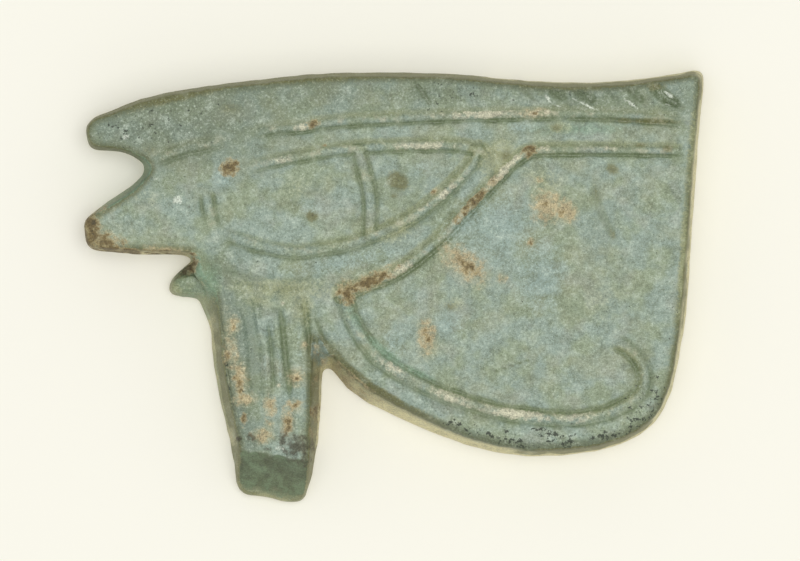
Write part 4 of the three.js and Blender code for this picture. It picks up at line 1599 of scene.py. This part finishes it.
    def material(self) -> bpy.types.Material:
        """Builds the finish as one material.

        Returns:
            The material.
        """
        material = bpy.data.materials.new(self.name)
        material.use_nodes = True
        material.node_tree.nodes.clear()
        nodes = Nodes(material.node_tree)
        where = nodes.add("ShaderNodeTexCoord").outputs["Object"]
        size = (1.0 / MM, 1.0 / MM, self.upright / MM)
        place = nodes.add("ShaderNodeVectorMath", {0: where, 1: size}, operation="MULTIPLY").outputs[0]
        waves = [nodes.centred(place, noise) for noise in (self.mottle, self.fine, self.grain)]
        mottle, fine, grain = waves
        coarse = nodes.total((nodes.mask(Stain.SHADE_AND_DIRT), self.coarse_shade_and_dirt), (1.0, 1.0))
        colour = self._walls(nodes, self._ground(nodes, place), mottle, place)
        broken = nodes.total(*zip(waves[:2], self.wash_edge))
        colour, _ = self._lay(nodes, colour, self.washes_and_painted_shade, broken)
        colour = self._spot(nodes, colour, mottle, fine, coarse)
        colour = self._crease(nodes, colour, mottle, place)
        colour = self._crests_and_toe(nodes, colour, mottle)
        broken = nodes.total(*zip((nodes.centred(place, self.patchy), fine), self.stain_edge))
        colour, crust = self._lay(nodes, colour, self.stains_and_painted_light, broken)
        colour = self._dots(nodes, colour, place)
        light = nodes.math("MULTIPLY", nodes.total(*zip(waves, self.shade)), nodes.math("ADD", coarse, crust))
        light = nodes.math("ADD", light, 1.0)
        colour = nodes.add("ShaderNodeVectorMath", {0: colour, "Scale": light}, operation="SCALE").outputs[0]
        glossy = nodes.math("MAXIMUM", nodes.mask(Form.GROOVE), nodes.mask(Form.TOE))
        roughness = nodes.total(*zip((glossy, crust, fine), self.roughening), (1.0, self.roughness))
        height = nodes.total(*zip((fine, grain), self.bumps))
        relief = {"Height": height, "Strength": self.bump_strength, "Distance": self.bump_height * MM}
        normal = nodes.add("ShaderNodeBump", relief).outputs[0]
        surface = {"Base Color": colour, "Roughness": roughness, "Normal": normal}
        shader = nodes.add("ShaderNodeBsdfPrincipled", surface)
        nodes.add("ShaderNodeOutputMaterial", {"Surface": shader.outputs[0]})
        return material

    def _ground(self, nodes: Nodes, place: Socket) -> Socket:
        """The glaze itself: patches of blue-grey, green, yellowed and grey that run into one another.

        Args:
            nodes: The material's nodes.
            place: Where a point is, in millimetres, its height times upright.

        Returns:
            The colour.
        """
        broad = nodes.add("ShaderNodeSeparateColor", {0: nodes.noise(place, self.broad, "Color")}).outputs
        blue = nodes.between(broad[0], self.blue_begins)
        colour = nodes.mix(blue, paint(self.green), paint(self.blue_grey))
        yellow = nodes.between(broad[1], self.yellow_begins)
        colour = nodes.over(yellow, self.yellow_most, colour, paint(self.yellowed))
        return nodes.over(nodes.between(broad[2], self.grey_begins), self.grey_most, colour, paint(self.grey))

    def _walls(self, nodes: Nodes, colour: Socket, mottle: Socket, place: Socket) -> Socket:
        """Colours the walls: olive along their top edge, also painted shade of the rounded edge, and bare
        paste below, whose tint higher up is painted light.

        Args:
            nodes: The material's nodes.
            colour: The colour so far.
            mottle: Broad noise around nought.
            place: Where a point is, in millimetres, its height times upright.

        Returns:
            The colour with the walls.
        """
        height = nodes.math("DIVIDE", nodes.add("ShaderNodeSeparateXYZ", {0: place}).outputs[2], self.upright)
        ragged = nodes.total((height, 1.0), (mottle, self.edge_ragged))
        side = nodes.mix(nodes.between(height, self.upper_wall_light_begins), paint(self.bare), paint(self.upper_wall_light))
        side = nodes.mix(nodes.between(ragged, self.edge_begins), side, paint(self.edge))
        return nodes.over(nodes.mask(Form.WALL), self.wall_most, colour, side)

    def _lay(
        self, nodes: Nodes, colour: Socket, covers: tuple[Cover, ...], broken: Socket
    ) -> tuple[Socket, Socket]:
        """Lays covers over a colour, one after another, and gives where they lie thick.

        Args:
            nodes: The material's nodes.
            colour: The colour so far.
            covers: What is laid.
            broken: Noise that breaks up their edges.

        Returns:
            The colour, and the thickest cover's share.
        """
        thick = 0.0
        for cover in covers:
            field = nodes.mask(cover.mask)
            share = nodes.between(nodes.total((field, 1.0), (broken, cover.ragged)), cover.begins)
            share = nodes.math("MULTIPLY", share, nodes.between(field, self.cover_begins))
            colour = nodes.over(share, cover.most, colour, paint(cover.tint))
            thick = nodes.math("MAXIMUM", thick, share)
        return colour, thick

    def _spot(self, nodes: Nodes, colour: Socket, mottle: Socket, fine: Socket, coarse: Socket) -> Socket:
        """Lays pale bloom, quartz grains and dark spots over a colour, fewer where the glaze is smooth.

        Args:
            nodes: The material's nodes.
            colour: The colour so far.
            mottle: Broad noise around nought.
            fine: Fine noise around nought.
            coarse: How coarse the grain is.

        Returns:
            The colour with the spots.
        """
        smooth = nodes.math("MULTIPLY", nodes.mask(Form.WALL), self.smooth_wall)
        for part in (Form.GROOVE, Form.RIM, Stain.OLIVE):
            smooth = nodes.math("MAXIMUM", nodes.mask(part), smooth)
        rough = nodes.total((nodes.math("MINIMUM", smooth, 1.0), self.smooth_most), (1.0, 1.0))
        rough = nodes.math("MULTIPLY", coarse, rough)
        for spot in self.spots:
            share = nodes.between(mottle if spot.on_mottle else fine, spot.begins)
            share = nodes.math("MULTIPLY", share, spot.most)
            colour = nodes.mix(nodes.math("MULTIPLY", share, rough), colour, paint(spot.tint))
        return colour

    def _crease(self, nodes: Nodes, colour: Socket, mottle: Socket, place: Socket) -> Socket:
        """Lays thin dark creases over a colour.

        Args:
            nodes: The material's nodes.
            colour: The colour so far.
            mottle: Broad noise around nought.
            place: Where a point is, in millimetres, its height times upright.

        Returns:
            The colour with the creases.
        """
        crease = nodes.between(nodes.math("ABSOLUTE", nodes.centred(place, self.worms)), self.crease_begins)
        crease = nodes.math("MULTIPLY", crease, nodes.between(mottle, self.crease_on))
        return nodes.over(crease, self.crease_most, colour, paint(DARK))

    def _crests_and_toe(self, nodes: Nodes, colour: Socket, mottle: Socket) -> Socket:
        """Wears the crests of the lines in stretches, and colours the toe dark.

        Args:
            nodes: The material's nodes.
            colour: The colour so far.
            mottle: Broad noise around nought.

        Returns:
            The colour with both.
        """
        worn = nodes.math("MULTIPLY", nodes.mask(Form.CREST), nodes.between(mottle, self.worn_on))
        colour = nodes.over(worn, self.worn_most, colour, paint(TAN))
        toe = nodes.mix(nodes.between(mottle, self.toe_lights), paint(self.toe_dark), paint(self.toe_light))
        share = nodes.total((nodes.mask(Form.TOE), 1.0), (mottle, self.toe_ragged))
        return nodes.over(nodes.between(share, self.toe_begins), self.toe_most, colour, toe)

    def _dots(self, nodes: Nodes, colour: Socket, place: Socket) -> Socket:
        """Lays small black specks over a colour where their mask is high.

        Args:
            nodes: The material's nodes.
            colour: The colour so far.
            place: Where a point is, in millimetres, its height times upright.

        Returns:
            The colour with the specks.
        """
        rough = nodes.noise(place, self.spotty)
        share = nodes.total((rough, 1.0), (nodes.mask(Stain.SPECKS), self.specks_more))
        share = nodes.between(share, self.specks_begin)
        share = nodes.math("MULTIPLY", share, nodes.math("SUBTRACT", 1.0, nodes.mask(Form.WALL)))
        return nodes.over(share, self.specks_most, colour, paint(self.speck))


@dataclass(frozen=True)
class PaleCard:
    """The plain cream card that the object lies on, which glows a little as painted light."""

    name: str = "pale_card"
    tint: Triple = (236, 235, 226)
    light: Triple = (248, 246, 233)
    # painted light: the card glows, which lightens the shadows on it and lights the walls from below
    glow: float = 0.08
    roughness: float = 0.9

    def material(self) -> bpy.types.Material:
        """Builds the finish as one material.

        Returns:
            The material.
        """
        material = bpy.data.materials.new(self.name)
        material.use_nodes = True
        shader = material.node_tree.nodes["Principled BSDF"]
        shader.inputs["Base Color"].default_value = paint(self.tint)
        shader.inputs["Roughness"].default_value = self.roughness
        shader.inputs["Specular IOR Level"].default_value = 0.0
        shader.inputs["Emission Color"].default_value = paint(self.light)
        shader.inputs["Emission Strength"].default_value = self.glow
        return material


@dataclass(frozen=True)
class SoftLight:
    """One round soft light that faces the object."""

    name: str
    at: Triple
    size: float
    energy: float
    colour: Triple = (1.0, 0.99, 0.97)

    def hang(self) -> None:
        """Adds the light to the scene."""
        data = bpy.data.lights.new(self.name, "AREA")
        data.shape = "DISK"
        data.size = self.size * MM
        data.energy = self.energy
        data.color = self.colour
        light = bpy.data.objects.new(self.name, data)
        place = np.array(self.at) * MM
        light.location = place
        flat = math.hypot(place[0], place[1])
        light.rotation_euler = (0.0, math.atan2(flat, place[2]), math.atan2(place[1], place[0]))
        bpy.context.scene.collection.objects.link(light)


@dataclass
class Studio:
    """The camera, the soft lights and the pale floor."""

    card: PaleCard
    floor_size: float = 3000.0
    near: float = 10.0  # the camera sees nothing nearer
    far: float = 10000.0
    lights: tuple[SoftLight, ...] = (
        SoftLight("key", (60.0, 30.0, 750.0), 300.0, 1.4),
        SoftLight("overhead", (5.0, -60.0, 880.0), 800.0, 3.0),
    )
    fill: float = 0.5
    fill_colour: tuple[float, float, float, float] = (1.0, 0.99, 0.965, 1.0)

    def build(self) -> None:
        """Sets up everything that isn't the object."""
        self._camera()
        self._floor()
        for light in self.lights:
            light.hang()
        self._surround()

    def _camera(self) -> None:
        """Looks straight down, as the object is shown."""
        data = bpy.data.cameras.new("camera")
        data.lens = LENS
        data.sensor_width = SENSOR
        data.clip_start = self.near * MM
        data.clip_end = self.far * MM
        camera = bpy.data.objects.new("camera", data)
        camera.location = [value * MM for value in CAMERA_AT]
        bpy.context.scene.collection.objects.link(camera)
        bpy.context.scene.camera = camera

    def _floor(self) -> None:
        """Lays the card under the object."""
        bpy.ops.mesh.primitive_plane_add(size=self.floor_size * MM)
        floor = bpy.context.object
        floor.name = "floor"
        floor.data.materials.append(self.card.material())

    def _surround(self) -> None:
        """Fills the shadows evenly, and shows colours as they are."""
        world = bpy.data.worlds.new("surround")
        world.use_nodes = True
        background = world.node_tree.nodes["Background"]
        background.inputs["Color"].default_value = self.fill_colour
        background.inputs["Strength"].default_value = self.fill
        bpy.context.scene.world = world
        bpy.context.scene.view_settings.view_transform = "Standard"


def main() -> None:
    """Builds the studio and the amulet, in order, and reports each."""
    logging.basicConfig(level=logging.INFO, format="%(message)s")
    Studio(PaleCard()).build()
    log.info("studio ready")
    piece = EyeAmulet(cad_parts[NODE], GlazedPaste()).build()
    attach(piece, BODY)
    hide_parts(NODE)
    log.info("%s: %d points, %d faces", piece.name, len(piece.data.vertices), len(piece.data.polygons))


if __name__ == "__main__":
    main()
